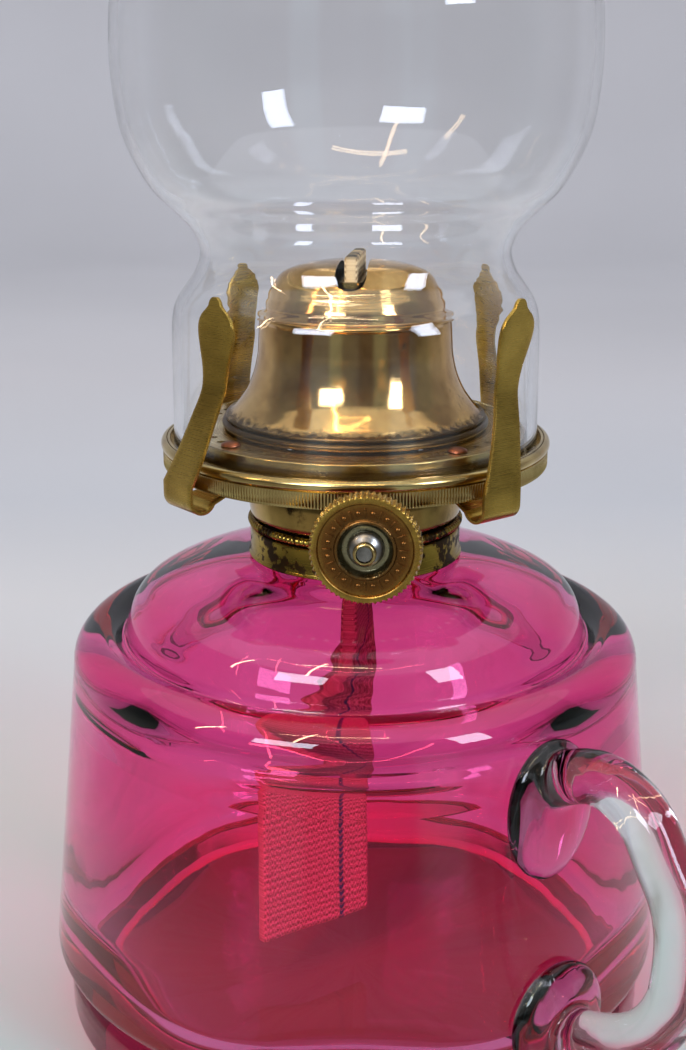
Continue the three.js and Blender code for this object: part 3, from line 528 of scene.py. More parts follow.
# the perforated plate, in paler brass than the rest: painted sheen standing in for the bright reflections
# on its upturned face
sheenPaintedPlateBrass = brassMaterial("sheet brass painted pale", "#e2cf96", "#b4965a", "#6b5330", (0.16, 0.3), (0.6, 0.8))
# spun brass of the flame dome, brown from heat, and darker in a band above the foot beads
domeBrass = brassMaterial(
    "heat-browned spun brass", "#ebc27c", "#b0844a", "#3c2d1b", (0.05, 0.12), (0.6, 0.8),
    darkFootBand=dict(top=115.2, ragged=2.2, fade=1.1, bottom=111.6, share=0.95),
)
# spring brass strip, olive gold with a cloth-rubbed grain
springBrass = brassMaterial(
    "spring strip brass", "#cdaa54", "#a1823a", "#574020", (0.22, 0.36), (0.62, 0.82), lines=0.5,
)
# old unpolished brass under the burner, dark with bright rubs
bowlBrass = brassMaterial(
    "tarnished spun brass", "#b99a58", "#725930", "#2e2212", (0.07, 0.16), (0.55, 0.7),
)
# collar brass with flaking dark lacquer
collarBrass = brassMaterial(
    "lacquered collar brass", "#b09440", "#8d7433", "#3a2b17", (0.16, 0.3), (0.5, 0.56),
)


def plainMetal(name, color, roughness, metallic=1.0, cloudSize=1.5):
    material, tree = newMaterial(name)
    where = addNode(tree, "TexCoord").outputs["Object"]
    cloud = addNode(tree, "TexNoise", {"Vector": where, "Scale": 1 / (cloudSize * mm), "Detail": 5.0})
    tone = addNode(tree, "ValToRGB", {0: cloud.outputs["Fac"]}, ramp=[(0.3, color[0]), (0.7, color[1])])
    rough = addNode(tree, "MapRange", {0: cloud.outputs["Fac"], 3: roughness[0], 4: roughness[1]})
    shader = addNode(
        tree, "BsdfPrincipled",
        {"Base Color": tone, "Metallic": metallic, "Roughness": rough},
    )
    addNode(tree, "OutputMaterial", {"Surface": shader})
    return material


# worn nickel-steel: the brass tone is gone and it looks pewter grey
wornSteel = plainMetal("worn steel", ("#a9a8a4", "#6d6b66"), (0.2, 0.4))
castPlaster = plainMetal("cast plaster", ("#ddd6c8", "#c9c0b0"), (0.8, 0.95), 0.0)
# copper rivets gone pink-brown
rivetCopper = plainMetal("oxidised copper", ("#9c6249", "#6b3d2d"), (0.25, 0.45))
print("materials made")


# Font: outside and inside of one blown body, open at the neck
font = dict(
    footRadius=54.6, footRound=2.4, footHeight=10.2, grooveRadius=52.9, grooveHeight=1.8,
    heelRadius=56.7, heelRound=3.6, sideTop=51.1, shoulderRound=5.4, shoulderTop=74.5,
    creaseRadius=41.8, creaseHeight=72.9, domeTop=87.2, neckRadius=16.4, neckTop=89,
    neckBore=13.2, wall=3.9, domeWall=3.3, floor=9, corner=12.5, sideDrop=16.5, steps=192,
    # shares of the way in or out and up: shoulder to crease, crease to neck, and the inside under both
    crown=[(0.4, 0.22), (0.75, 0.72), (0.93, 0.93)],
    dome=[
        (0.006, 0.045), (0.018, 0.16), (0.055, 0.36), (0.13, 0.54), (0.27, 0.69), (0.46, 0.82),
        (0.7, 0.93), (1, 1),
    ],
    # the blown inside follows the outer crease only softly
    domeInside=[
        (0, 0), (0.32, 0.035), (0.52, 0.105), (0.65, 0.19), (0.71, 0.295), (0.75, 0.42), (0.81, 0.525),
        (0.89, 0.6), (0.96, 0.69), (0.99, 0.82), (1, 1),
    ],
)


def fontOutside():
    f = font
    shoulder = (f["sideTop"] - f["shoulderRound"], f["shoulderTop"] - f["shoulderRound"])
    crown = (shoulder[0], f["shoulderTop"])
    crease = (f["creaseRadius"], f["creaseHeight"])
    footCentre = f["footRadius"] - f["footRound"]
    heelBase = f["footHeight"] + f["grooveHeight"]
    return [
        *arcLine(footCentre, f["footRound"], f["footRound"], -90, 0, 8),
        *arcLine(footCentre, f["footHeight"] - f["footRound"], f["footRound"], 0, 60, 6),
        (f["grooveRadius"], f["footHeight"] + f["grooveHeight"] / 2),
        *arcLine(f["heelRadius"] - f["heelRound"], heelBase + f["heelRound"], f["heelRound"], -70, 0, 8),
        *arcLine(*shoulder, f["shoulderRound"], 0, 90, 14),
        *smoothLine([
            crown, *spread(crown, crease, f["crown"]),
            *spread(crease, (f["neckRadius"], f["domeTop"]), f["dome"]),
        ], 6)[1:],
    ]


def fontInside():
    f = font
    neck = (f["neckBore"], f["domeTop"] - f["domeWall"])
    sideInner = (f["sideTop"] - f["wall"], f["shoulderTop"] - f["sideDrop"])
    heelZ = f["footHeight"] + f["grooveHeight"] + f["heelRound"]
    bottom = f["heelRadius"] - f["wall"]
    return [
        *smoothLine(spread(neck, sideInner, f["domeInside"]), 6),
        *smoothLine([
            (bottom, heelZ + f["corner"]),
            *arcLine(bottom - f["corner"], f["floor"] + f["corner"], f["corner"], -5, -90, 8),
        ], 3),
    ]


# Six shallow lobes pressed into the inside by the optic mould, deepest round the floor
lobes = dict(count=6, wall=0.9, floor=4.2, dome=1.25, low=11, high=26, fade=22, below=4)


def shapeLobes(mesh):
    inside = {(round(r, 2), round(z, 2)) for r, z in fontInside()}
    for vert in mesh.verts:
        radius = math.hypot(vert.co.x, vert.co.y)
        if (round(radius, 2), round(vert.co.z, 2)) not in inside:
            continue
        bearing = math.atan2(vert.co.y, vert.co.x) - math.atan2(towards.y, towards.x)
        share = 0.5 + 0.5 * math.cos(lobes["count"] * bearing)
        low = min(max(0, (lobes["high"] - vert.co.z) / (lobes["high"] - lobes["low"])), 1)
        inward = between(lobes["wall"], lobes["floor"], low * low * (3 - 2 * low)) * share
        outer = min(max(0, (radius - font["neckBore"]) / lobes["fade"]), 1)
        grow = 1 - inward * outer / radius
        vert.co.x *= grow
        vert.co.y *= grow
        if vert.co.z > font["creaseHeight"] - font["domeWall"] - lobes["below"]:
            vert.co.z -= lobes["dome"] * share * outer


fontLine = [
    (0, 0), *fontOutside(), (font["neckRadius"], font["neckTop"]), (font["neckBore"], font["neckTop"]),
    *fontInside(), (0, font["floor"]),
]
fontMesh = turned(fontLine, font["steps"], closed=False)
shapeLobes(fontMesh)
fontPiece = asObject("font_glass", fontMesh)
settle(fontPiece, "font_body", cranberryGlass, ["font"], lampFrame, sharp=60)
print("font made")


# Handle: a bent rod with a flattened gather at each end, melted into one form
handle = dict(
    rod=4.4, upper=61.5, lower=18.5, rise=5, reach=81, belly=45, depth=6,
    upperGather=dict(out=3.4, side=9, up=12.2, drop=4.6),
    lowerGather=dict(out=3.6, side=9.8, up=10.5, drop=-1.5),
    sink=0.8, seatSteps=96, gatherSteps=(32, 20), rodSteps=6, voxel=0.45, soften=14, softenShare=0.5,
    # shares of the way out and up: over the top, down the back and in below
    over=[(0.08, 0.34), (0.24, 0.8), (0.41, 1), (0.58, 0.78), (0.71, 0.28)],
    back=[(0.83, 0.79), (0.94, 0.51), (0.99, 0.24), (1, 0)],
    below=[(0.99, 0.17), (0.95, 0.36), (0.83, 0.57), (0.64, 0.75), (0.4, 0.88), (0.16, 0.96)],
)


def sideRadius(height):
    share = (height - font["footHeight"]) / (font["shoulderTop"] - font["footHeight"])
    return between(font["heelRadius"], font["sideTop"], share)


def handleLine():
    h = handle
    upper, lower = sideRadius(h["upper"]), sideRadius(h["lower"])
    crown = (h["reach"], h["upper"] + h["rise"])
    return [
        (upper - h["depth"], h["upper"] - h["rise"] / 2),
        *spread((upper, h["upper"]), crown, h["over"]),
        *spread((upper, h["belly"]), (h["reach"], h["upper"]), h["back"]),
        *spread((lower, h["belly"]), (h["reach"], h["lower"]), h["below"]),
        (lower - h["depth"], h["lower"]),
    ]


def addGather(mesh, size, height):
    around, tall = handle["gatherSteps"]
    made = bmesh.ops.create_uvsphere(mesh, u_segments=around, v_segments=tall, radius=1)
    centre = Vector((sideRadius(height), 0, height - size["drop"]))
    bmesh.ops.scale(mesh, vec=(size["out"], size["side"], size["up"]), verts=made["verts"])
    bmesh.ops.translate(mesh, vec=centre, verts=made["verts"])


path = smoothLine(handleLine(), 8)
rodCurve = bpy.data.curves.new("rod", "CURVE")
rodCurve.dimensions = "3D"
rodCurve.bevel_depth = handle["rod"]
rodCurve.bevel_resolution = handle["rodSteps"]
rodCurve.use_fill_caps = True
spline = rodCurve.splines.new("POLY")
spline.points.add(len(path) - 1)
for point, (r, z) in zip(spline.points, path):
    point.co = (r, 0, z, 1)
rod = placed("rod", rodCurve)
handleMesh = bmesh.new()
rodMesh = bpy.data.meshes.new_from_object(rod)
handleMesh.from_mesh(rodMesh)
bpy.data.objects.remove(rod)
addGather(handleMesh, handle["upperGather"], handle["upper"])
addGather(handleMesh, handle["lowerGather"], handle["lower"])
handlePiece = asObject("handle_glass", handleMesh)
melt = handlePiece.modifiers.new("melt", "REMESH")
melt.mode = "VOXEL"
melt.voxel_size = handle["voxel"]
soften = handlePiece.modifiers.new("soften", "SMOOTH")
soften.factor = handle["softenShare"]
soften.iterations = handle["soften"]
applied(handlePiece)
wallForm = movedIn(fontOutside(), handle["sink"])
seatLine = [(0, -1), (wallForm[0][0], -1), *wallForm, (0, font["domeTop"])]
cutOut(handlePiece, asObject("seat", turned(seatLine, handle["seatSteps"], closed=False)))
settle(handlePiece, "font_body", rodGlass, ["finger_handle"], lampFrame, sharp=80)
print("handle made")


# Collar and screw ring
collar = dict(
    radius=18.8, sheet=0.5, bottom=87.35, top=92.5, lip=0.35, lipUp=2.2, thread=15.95, drop=3.2,
    steps=128,
)
collarInner = collar["radius"] - collar["sheet"]
collarUnder = collar["top"] - collar["sheet"]
skirtInner = collar["thread"] + collar["sheet"]
skirtBottom = collar["top"] - collar["drop"]
lipRound = collar["lip"] / 2
collarLine = [
    (collarInner, collar["bottom"]),
    *arcLine(collar["radius"] + lipRound, collar["bottom"] + lipRound, lipRound, -90, 60, 6),
    (collar["radius"], collar["bottom"] + collar["lipUp"] * collar["lip"]),
    *arcLine(collarInner, collarUnder, collar["sheet"], 0, 90, 5),
    (collar["thread"], collar["top"]), (collar["thread"], skirtBottom),
    (skirtInner, skirtBottom), (skirtInner, collarUnder), (collarInner, collarUnder),
]
collarPiece = asObject("collar", turned(collarLine, collar["steps"]))
settle(collarPiece, "font_body", collarBrass, ["font_collar"], lampFrame)

screwRing = dict(
    bore=14.9, bottom=89.5, bead=19.25, height=1.5, gap=0.3, play=0.2, ropes=130, ropeSteps=5,
    ropeShare=0.9, twist=2.4, depth=0.22,
)
flange = collar["top"] + screwRing["gap"]
threadOuter = collar["thread"] - screwRing["play"]
ropeRound = screwRing["height"] / 2
ropeFrom = screwRing["bead"] - ropeRound * screwRing["ropeShare"]
screwLine = [
    (screwRing["bore"], screwRing["bottom"]), (threadOuter, screwRing["bottom"]), (threadOuter, flange),
    *arcLine(screwRing["bead"] - ropeRound, flange + ropeRound, ropeRound, -90, 90, 14),
    (screwRing["bore"], flange + screwRing["height"]),
]
screwMesh = turned(screwLine, screwRing["ropes"] * screwRing["ropeSteps"])
ripple(screwMesh, screwRing["ropes"], screwRing["depth"], lambda r, z: r > ropeFrom, screwRing["twist"])
screwPiece = asObject("rope_ring", screwMesh)
settle(screwPiece, "screw_body", collarBrass, ["screw_ring"])

# Burner bowl and the flared basket above it
bowl = dict(
    radius=19, foot=18.3, mouth=15.6, bottom=94.6, top=103.2, sheet=0.5, steps=128,
    bulge=[(0, 0), (0.65, 0.08), (1, 0.3), (0.97, 0.55)], shoulder=[(0.22, 0.76), (0.6, 0.92), (1, 1)],
)
bowlSide = smoothLine([
    *spread((bowl["foot"], bowl["bottom"]), (bowl["radius"], bowl["top"]), bowl["bulge"]),
    *spread((bowl["radius"], bowl["bottom"]), (bowl["mouth"], bowl["top"]), bowl["shoulder"]),
], 6)
bowlInside = movedIn(bowlSide, bowl["sheet"])
bowlLine = [(0, bowl["bottom"]), *bowlSide, *bowlInside[:0:-1], (0, bowl["bottom"] + bowl["sheet"])]
bowlPiece = asObject("bowl", turned(bowlLine, bowl["steps"], closed=False))
settle(bowlPiece, "burner_body", bowlBrass, ["burner_bowl"])

basket = dict(
    top=109.9, radius=23.4, sheet=0.45, gap=0.3,
    flare=[(0, 0), (0.12, 0.3), (0.42, 0.66), (0.76, 0.92), (1, 1)],
)
basketSide = smoothLine(spread(
    (bowl["mouth"], bowl["top"] + basket["gap"]), (basket["radius"], basket["top"] - basket["sheet"]),
    basket["flare"],
), 6)
basketLine = [*basketSide, *movedIn(basketSide, basket["sheet"])[::-1]]
basketPiece = asObject("basket", turned(basketLine, bowl["steps"]))
settle(basketPiece, "burner_body", bowlBrass, ["air_basket"])


# Gallery: seat, perforated plate and knurled band
gallery = dict(
    seat=107.35, sheet=0.45, inner=29.3, outer=33.05, rim=108.9, plate=110.65, plateInner=22.2,
    plateGap=0.3, hole=0.78, holeCircle=26.2, holes=44, bridge=0.12, drill=3, drillSteps=16, steps=160,
    # the small bead that holds the plate: in from the inner wall, down from the plate, own radius
    beadIn=0.2, beadDown=0.15, beadRound=0.25, beadFoot=0.1,
)
seatUnder = gallery["seat"] - gallery["sheet"]
rimInner = gallery["outer"] - gallery["sheet"]
wallInner = gallery["inner"] + gallery["sheet"]
galleryLine = [
    (gallery["inner"], seatUnder), (gallery["outer"], seatUnder), (gallery["outer"], gallery["rim"]),
    (rimInner, gallery["rim"]), (rimInner, gallery["seat"]), (wallInner, gallery["seat"]),
    (wallInner, gallery["plate"] - gallery["beadFoot"]),
    *arcLine(
        gallery["inner"] + gallery["beadIn"], gallery["plate"] - gallery["beadDown"],
        gallery["beadRound"], 10, 170, 5,
    ),
]
galleryPiece = asObject("gallery_seat", turned(galleryLine, gallery["steps"]))
settle(galleryPiece, "burner_body", handledBrass, ["gallery"])

plateUnder = gallery["plate"] - gallery["sheet"]
plateOuter = gallery["inner"] - gallery["plateGap"]
plateLine = [
    (gallery["plateInner"], plateUnder), (plateOuter, plateUnder), (plateOuter, gallery["plate"]),
    (gallery["plateInner"], gallery["plate"]),
]
platePiece = asObject("perforated_plate", turned(plateLine, gallery["steps"]))
rivets = dict(
    circle=26.4, head=1.6, height=0.7, shank=0.85, play=0.3, lift=0.12, tail=0.3, steps=32,
    # the struck end: shares of the head's radius and height, from the tip up
    struck=[(0, 0.7), (0.6, 0.68), (0.85, 0.5)], dome=(0.3, 0.6, 0.9, 1.2),
)
prongTurns = [
    math.atan2(joint["pos_m"][1], joint["pos_m"][0]) - burnerTurn
    for joint in frame["joints"] if joint["name"].startswith("prong")
]
drills = bmesh.new()


def addDrill(radius, circle, turn):
    where = Matrix.Translation((circle * math.cos(turn), circle * math.sin(turn), gallery["plate"]))
    addPin(drills, radius, gallery["drill"], gallery["drillSteps"], where)


for i in range(gallery["holes"]):
    turn = 2 * math.pi * (i + 0.5) / gallery["holes"]
    gap = min(
        math.dist(
            (gallery["holeCircle"] * math.cos(turn), gallery["holeCircle"] * math.sin(turn)),
            (rivets["circle"] * math.cos(t), rivets["circle"] * math.sin(t)),
        ) for t in prongTurns
    )
    if gap > gallery["hole"] + rivets["head"] + gallery["bridge"]:
        addDrill(gallery["hole"], gallery["holeCircle"], turn)
for turn in prongTurns:
    addDrill(rivets["shank"] + rivets["play"], rivets["circle"], turn)
cutOut(platePiece, asObject("drills", drills))
settle(platePiece, "burner_body", sheenPaintedPlateBrass, ["air_plate"])

band = dict(
    radius=33.85, bottom=104.3, sheet=0.55, bead=1.9, proud=0.3, ribs=400, ribSteps=4, depth=0.16,
    edge=0.1, edgeUp=0.15, footUp=0.5, headDown=0.4,
)
beadRound = band["bead"] / 2
bandInner = band["radius"] - band["sheet"]
beadBottom = gallery["rim"] - band["bead"]
bandLine = [
    (bandInner, band["bottom"]), (band["radius"] - band["edge"], band["bottom"]),
    (band["radius"], band["bottom"] + band["edgeUp"]), (band["radius"], band["bottom"] + band["footUp"]),
    (band["radius"], beadBottom - band["headDown"]), (band["radius"], beadBottom),
    *arcLine(
        band["radius"] + band["proud"] - beadRound, gallery["rim"] - beadRound, beadRound, -65, 90, 10,
    ),
    (bandInner, gallery["rim"]),
]


def isKnurled(radius, height):
    inside = band["bottom"] + band["edge"] < height < beadBottom - band["edge"]
    return inside and radius > band["radius"] - band["edge"] / 2


bandMesh = turned(bandLine, band["ribs"] * band["ribSteps"])
ripple(bandMesh, band["ribs"], band["depth"], isKnurled)
bandPiece = asObject("knurled_band", bandMesh)
settle(bandPiece, "burner_body", handledBrass, ["gallery_band"])
print("burner and gallery made")


# Flame dome
dome = dict(
    bottom=110.95, foot=23.0, sheet=0.45, slot=5.2, slotBottom=135.15, top=140.35, steps=160,
    reach=60, above=10, slotSteps=48, core=0.2,
    # each bead's centre and its own radius
    footBead=(22.7, 111.6, 0.7), upperBead=(22.35, 112.75, 0.42), tierBead=(16.6, 129.75, 0.35),
    bell=[
        (21.9, 113.35), (21.2, 114.0), (20.0, 115.6), (18.9, 117.3), (17.8, 119.9), (17.1, 122.9),
        (16.85, 125.5), (16.6, 129.2),
    ],
    tier=[
        (15.75, 130.2), (15.4, 130.7), (15.5, 131.5), (15.1, 132.6), (14.4, 134.1), (13.3, 136.1),
        (11.3, 138.1), (8.6, 139.4), (4.5, 140.15),
    ],
)
domeOutside = [
    (dome["foot"], dome["bottom"]), *arcLine(*dome["footBead"], -60, 80, 8),
    *arcLine(*dome["upperBead"], -70, 80, 6), *smoothLine(dome["bell"], 6),
    *arcLine(*dome["tierBead"], -60, 80, 6), *smoothLine([*dome["tier"], (0, dome["top"])], 6),
]
domeInside = [p for p in movedIn(domeOutside, dome["sheet"]) if p[0] > dome["core"]]
domeLine = [(0, dome["top"] - dome["sheet"]), *domeInside[::-1], *domeOutside]
domePiece = asObject("flame_dome", turned(domeLine, dome["steps"], closed=False))
slotHalf = dome["slot"] / 2
slotMiddle = dome["slotBottom"] + slotHalf
slotRound = bmesh.new()
acrossDome = Matrix.Translation((0, 0, slotMiddle)) @ Matrix.Rotation(math.pi / 2, 4, "Y")
addPin(slotRound, slotHalf, dome["reach"], dome["slotSteps"], acrossDome)
cutOut(domePiece, asObject("slot_round", slotRound))
slotBlock = bmesh.new()
aboveRound = Matrix.Translation((0, 0, slotMiddle + dome["above"] / 2))
slotSize = Matrix.Diagonal((dome["reach"], dome["slot"], dome["above"], 1))
bmesh.ops.create_cube(slotBlock, size=1, matrix=aboveRound @ slotSize)
cutOut(domePiece, asObject("slot_block", slotBlock))
settle(domePiece, "burner_body", domeBrass, ["deflector"], sharp=30)
print("flame dome made")


# Prongs: one strip each, bent from its rivet through the loop and up to its pointed tip
prong = dict(
    thick=0.6, root=5.6, foot=7.8, waist=5.2, head=7.7, rootInner=24.8, knee=28.5, drop=3,
    loopInner=33, loopOuter=37.5, touch=122, top=136.3,
    standOffs=[0.2, 2.3, 1.2, 0.9], flares=[0.3, 1.7, 1.3, 1.6], leans=[8.3, 6.6, 0, -1.5], across=8,
    clear=0.3, beside=0.15, drill=2, drillSteps=24, edge=0.12, edgeSteps=2,
    # shares of the way out, up and in width: from the loop to the waist, to the head and to the tip
    toWaist=[(0.3, 0.35, 0.4), (0.62, 0.66, 0.8), (0.9, 0.88, 1)],
    toHead=[(0.12, 0.2, 0.15), (0.34, 0.4, 0.65), (0.6, 0.58, 1)],
    toTip=[
        (0.75, 0.7, 0.97), (0.85, 0.79, 0.8), (0.91, 0.855, 0.54), (0.95, 0.9, 0.37), (0.97, 0.94, 0.31),
        (0.99, 0.975, 0.23), (1, 1, 0.1),
    ],
)
chimney = dict(
    foot=31.9, bottom=107.65, shoulder=31.7, shoulderUp=19, neck=26.5, neckUp=33.5, bulb=40.35, bulbUp=66,
    top=22.6, height=203, wall=1.6, steps=192,
    # shares of the way in or out and up: shoulder to neck, neck to bulb, bulb to top
    toNeck=[(0, 0), (0.07, 0.29), (0.22, 0.44), (0.4, 0.54), (0.64, 0.66), (0.86, 0.79)],
    toBulb=[(0, 0), (0.1, 0.11), (0.32, 0.21), (0.56, 0.31), (0.77, 0.46), (0.91, 0.61), (0.98, 0.8)],
    toTop=[
        (0, 0), (0.03, 0.06), (0.14, 0.13), (0.32, 0.2), (0.52, 0.29), (0.7, 0.4), (0.84, 0.56),
        (0.94, 0.77), (1, 1),
    ],
)


def prongLine(standOff, flare):
    p = prong
    rootZ = gallery["plate"] - gallery["sheet"] - p["clear"] - p["thick"] / 2
    touch = chimney["foot"] + p["beside"] + p["thick"] / 2 + standOff
    loopRound = (p["loopOuter"] - p["loopInner"]) / 2
    loopCentre = (p["loopOuter"] + p["loopInner"]) / 2
    loopZ = band["bottom"] - p["drop"] + loopRound
    riseZ = band["bottom"] + p["drop"] / 2
    kneeRound = p["thick"] * 2
    stemLow = band["bottom"] - p["clear"] - p["thick"]
    stemOuter = p["knee"] + kneeRound
    line = [(r, z, p["root"]) for r, z in [
        (p["rootInner"], rootZ), ((p["rootInner"] + p["knee"] - kneeRound) / 2, rootZ),
        *arcLine(p["knee"] - kneeRound, rootZ - kneeRound, kneeRound, 90, 0, 5),
        (p["knee"], (rootZ + stemLow) / 2),
        *arcLine(stemOuter, stemLow + kneeRound, kneeRound, 180, 255, 4),
    ]]
    loop = arcLine(loopCentre, loopZ, loopRound, 205, 360, 14)
    line += [(r, z, p["foot"]) for r, z in [*loop, (p["loopOuter"], riseZ)]]
    rise = [(p["loopOuter"], riseZ, p["foot"])]
    for inward, up, narrow in p["toWaist"]:
        rise.append((
            between(p["loopOuter"], touch, inward), between(band["bottom"], p["touch"], up),
            between(p["foot"], p["waist"], narrow),
        ))
    rise.append((touch, p["touch"], p["waist"]))
    for out, up, widen in p["toHead"]:
        rise.append((
            touch + flare * out, between(p["touch"], p["top"], up), between(p["waist"], p["head"], widen),
        ))
    for out, up, share in p["toTip"]:
        rise.append((touch + flare * out, between(p["touch"], p["top"], up), p["head"] * share))
    line += smoothLine(rise, 4)[1:]
    return line


def leanShare(radius, height):
    # how far up its rise a point of the strip is; the part under the band does not lean
    start = band["bottom"] + prong["drop"] / 2
    if radius < prong["knee"] + 2 * prong["thick"] or height < start:
        return 0
    share = (height - start) / (prong["top"] - start)
    return share * (2 - share)


def prongPiece(index):
    p = prong
    line = prongLine(p["standOffs"][index], p["flares"][index])
    rows = []
    for r, z, width in line:
        lean = Matrix.Rotation(math.radians(p["leans"][index] * leanShare(r, z)), 3, "Z")
        sides = [between(-width / 2, width / 2, i / p["across"]) for i in range(p["across"] + 1)]
        rows.append([lean @ Vector((r, side, z)) for side in sides])
    strip = asObject(f"spring_prong_{index + 1}", stripMesh(rows)[0])
    stiffen(strip, p["thick"])
    applied(strip)
    hole = bmesh.new()
    where = Matrix.Translation((rivets["circle"], 0, line[0][1]))
    addPin(hole, rivets["shank"] + rivets["play"], p["drill"], p["drillSteps"], where)
    cutOut(strip, asObject("rivet_hole", hole))
    roundEdges(strip, p["edge"], p["edgeSteps"])
    applied(strip)
    place = Matrix.Rotation(prongTurns[index], 4, "Z")
    settle(
        strip, f"prong_{index + 1}_body", springBrass, [f"prong_{index + 1}"],
        burnerFrame @ place, sharp=40,
    )


for index in range(len(prongTurns)):
    prongPiece(index)


def rivetPiece(index):
    r = rivets
    top = gallery["plate"] + r["lift"]
    tail = gallery["plate"] - gallery["sheet"] - prong["clear"] - prong["thick"] - r["tail"]
    line = [
        *[(r["head"] * out, tail - r["height"] * down) for out, down in r["struck"]],
        (r["head"] * r["struck"][-1][0], tail), (r["shank"], tail), (r["shank"], top), (r["head"], top),
        *[(r["head"] * math.cos(t), top + r["height"] * math.sin(t)) for t in r["dome"]],
        (0, top + r["height"]),
    ]
    made = asObject(f"plate_rivet_{index + 1}", turned(line, r["steps"], closed=False))
    place = Matrix.Rotation(prongTurns[index], 4, "Z") @ Matrix.Translation((r["circle"], 0, 0))
    settle(
        made, "burner_body", rivetCopper, [f"prong_rivet_{index + 1}"], burnerFrame @ place,
    )


for index in range(len(prongTurns)):
    rivetPiece(index)
print("prongs made")


# Chimney
def chimneyLine():
    k = chimney
    base = k["bottom"]
    shoulder = (k["shoulder"], base + k["shoulderUp"])
    neck = (k["neck"], base + k["neckUp"])
    bulb = (k["bulb"], base + k["bulbUp"])
    top = (k["top"], base + k["height"])
    points = [
        (k["foot"], base), (between(k["foot"], k["shoulder"], 0.5), base + k["shoulderUp"] * 0.5),
        *spread(shoulder, neck, k["toNeck"]), *spread(neck, bulb, k["toBulb"]),
        *spread(bulb, top, k["toTop"]),
    ]
    outside = smoothLine(points, 6)
    inside = movedIn(outside, k["wall"])
    inside[0] = (inside[0][0], base)
    inside[-1] = (inside[-1][0], top[1])
    half = k["wall"] / 2
    rim = arcLine(k["top"] - half, top[1] - half, half, 20, 160, 6)
    return [*outside[:-1], *rim, *inside[-2::-1]]


chimneyPiece = asObject("chimney_glass", turned(chimneyLine(), chimney["steps"]))
settle(chimneyPiece, "chimney_body", chimneyGlass, ["chimney"], sharp=60)
print("chimney made")


# Knob: knurled edge, raised rim, flat band with raised marks, ridge and dish
def knobMaterial():
    # the plating is worn off in rings: grey-green dish, brown band, orange rim and a bright edge
    material, tree = newMaterial("worn plated brass")
    where = addNode(tree, "TexCoord").outputs["Object"]
    face = addNode(tree, "UVMap", uv_map="face")
    split = addNode(tree, "SeparateXYZ", {0: face})
    cloud = addNode(tree, "TexNoise", {"Vector": where, "Scale": 1 / (knob["cloud"] * mm), "Detail": 5.0})
    ragged = addNode(
        tree, "Math", {0: cloud.outputs["Fac"], 1: knob["ragged"], 2: split.outputs[0]},
        operation="MULTIPLY_ADD",
    )
    shift = knob["ragged"] / 2
    ring = addNode(tree, "MapRange", {0: ragged, 1: shift, 2: knob["radius"] + shift})
    tone = addNode(
        tree, "ValToRGB", {0: ring},
        ramp=[
            (0, "#8d8a72"), (0.44, "#989170"), (0.5, "#7a5a31"), (0.62, "#6f4a25"), (0.76, "#84592c"),
            (0.84, "#9a7438"), (0.93, "#b08f43"), (1, "#c2a250"),
        ],
    )
    spots = addNode(
        tree, "TexNoise",
        {"Vector": where, "Scale": 1 / (knob["spots"] * mm), "Detail": 6.0, "Roughness": 0.7},
    )
    dirt = addNode(tree, "MapRange", {0: spots.outputs["Fac"], 1: 0.55, 2: 0.72, 4: 0.7})
    color = addNode(tree, "Mix", {0: dirt, 6: tone, 7: hexColor("#3c2a16")}, data_type="RGBA")
    rough = addNode(tree, "MapRange", {0: spots.outputs["Fac"], 1: 0.3, 2: 0.7, 3: 0.2, 4: 0.42})
    shader = addNode(
        tree, "BsdfPrincipled",
        {"Base Color": color.outputs[2], "Metallic": 1.0, "Roughness": rough},
    )
    addNode(tree, "OutputMaterial", {"Surface": shader})
    return material


knob = dict(
    radius=8.75, thick=3.4, front=42.5, teeth=60, toothSteps=6, tooth=0.42, rim=1.1, bandDepth=0.45,
    ridge=4.4, dish=3.9, dishDepth=1.5, boss=2.9, bossHeight=1.7, ferrule=1.8, ferruleProud=1.9,
    bore=1.32, gap=0.3, rimRound=0.62, bandRound=0.35, ridgeRound=0.3, ferruleRound=0.45,
    bossSteps=64, ferruleSteps=48, cloud=1.6, spots=0.9, ragged=1.6,
    # small steps of the outline: back edge in and up, wall, feet of band and ridge, slope to the dish
    backIn=0.5, backUp=0.4, wallUp=1.2, wallDown=0.6, toothUp=0.2, bandFoot=0.1, ridgeFoot=0.5,
    ridgeOut=0.1, slopeIn=0.35, dishIn=0.2, dishUp=0.1, floorIn=0.7, ferruleDown=0.6,
    # turns up the boss's round, in radians
    bossRound=(0.25, 0.5, 0.75, 1.0),
    # raised marks: how many bars and dots, a bar's size and edge, and a dot's half sizes
    marks=16, bar=(1.5, 0.42, 0.36), barEdge=0.09, dot=(0.4, 0.4, 0.22),
)
knobBack = knob["front"] - knob["thick"]
bandOuter = knob["radius"] - knob["rim"] - knob["gap"]
bandZ = knob["front"] - knob["bandDepth"]
dishZ = knob["front"] - knob["dishDepth"]
rimRound, bandRound = knob["rimRound"], knob["bandRound"]
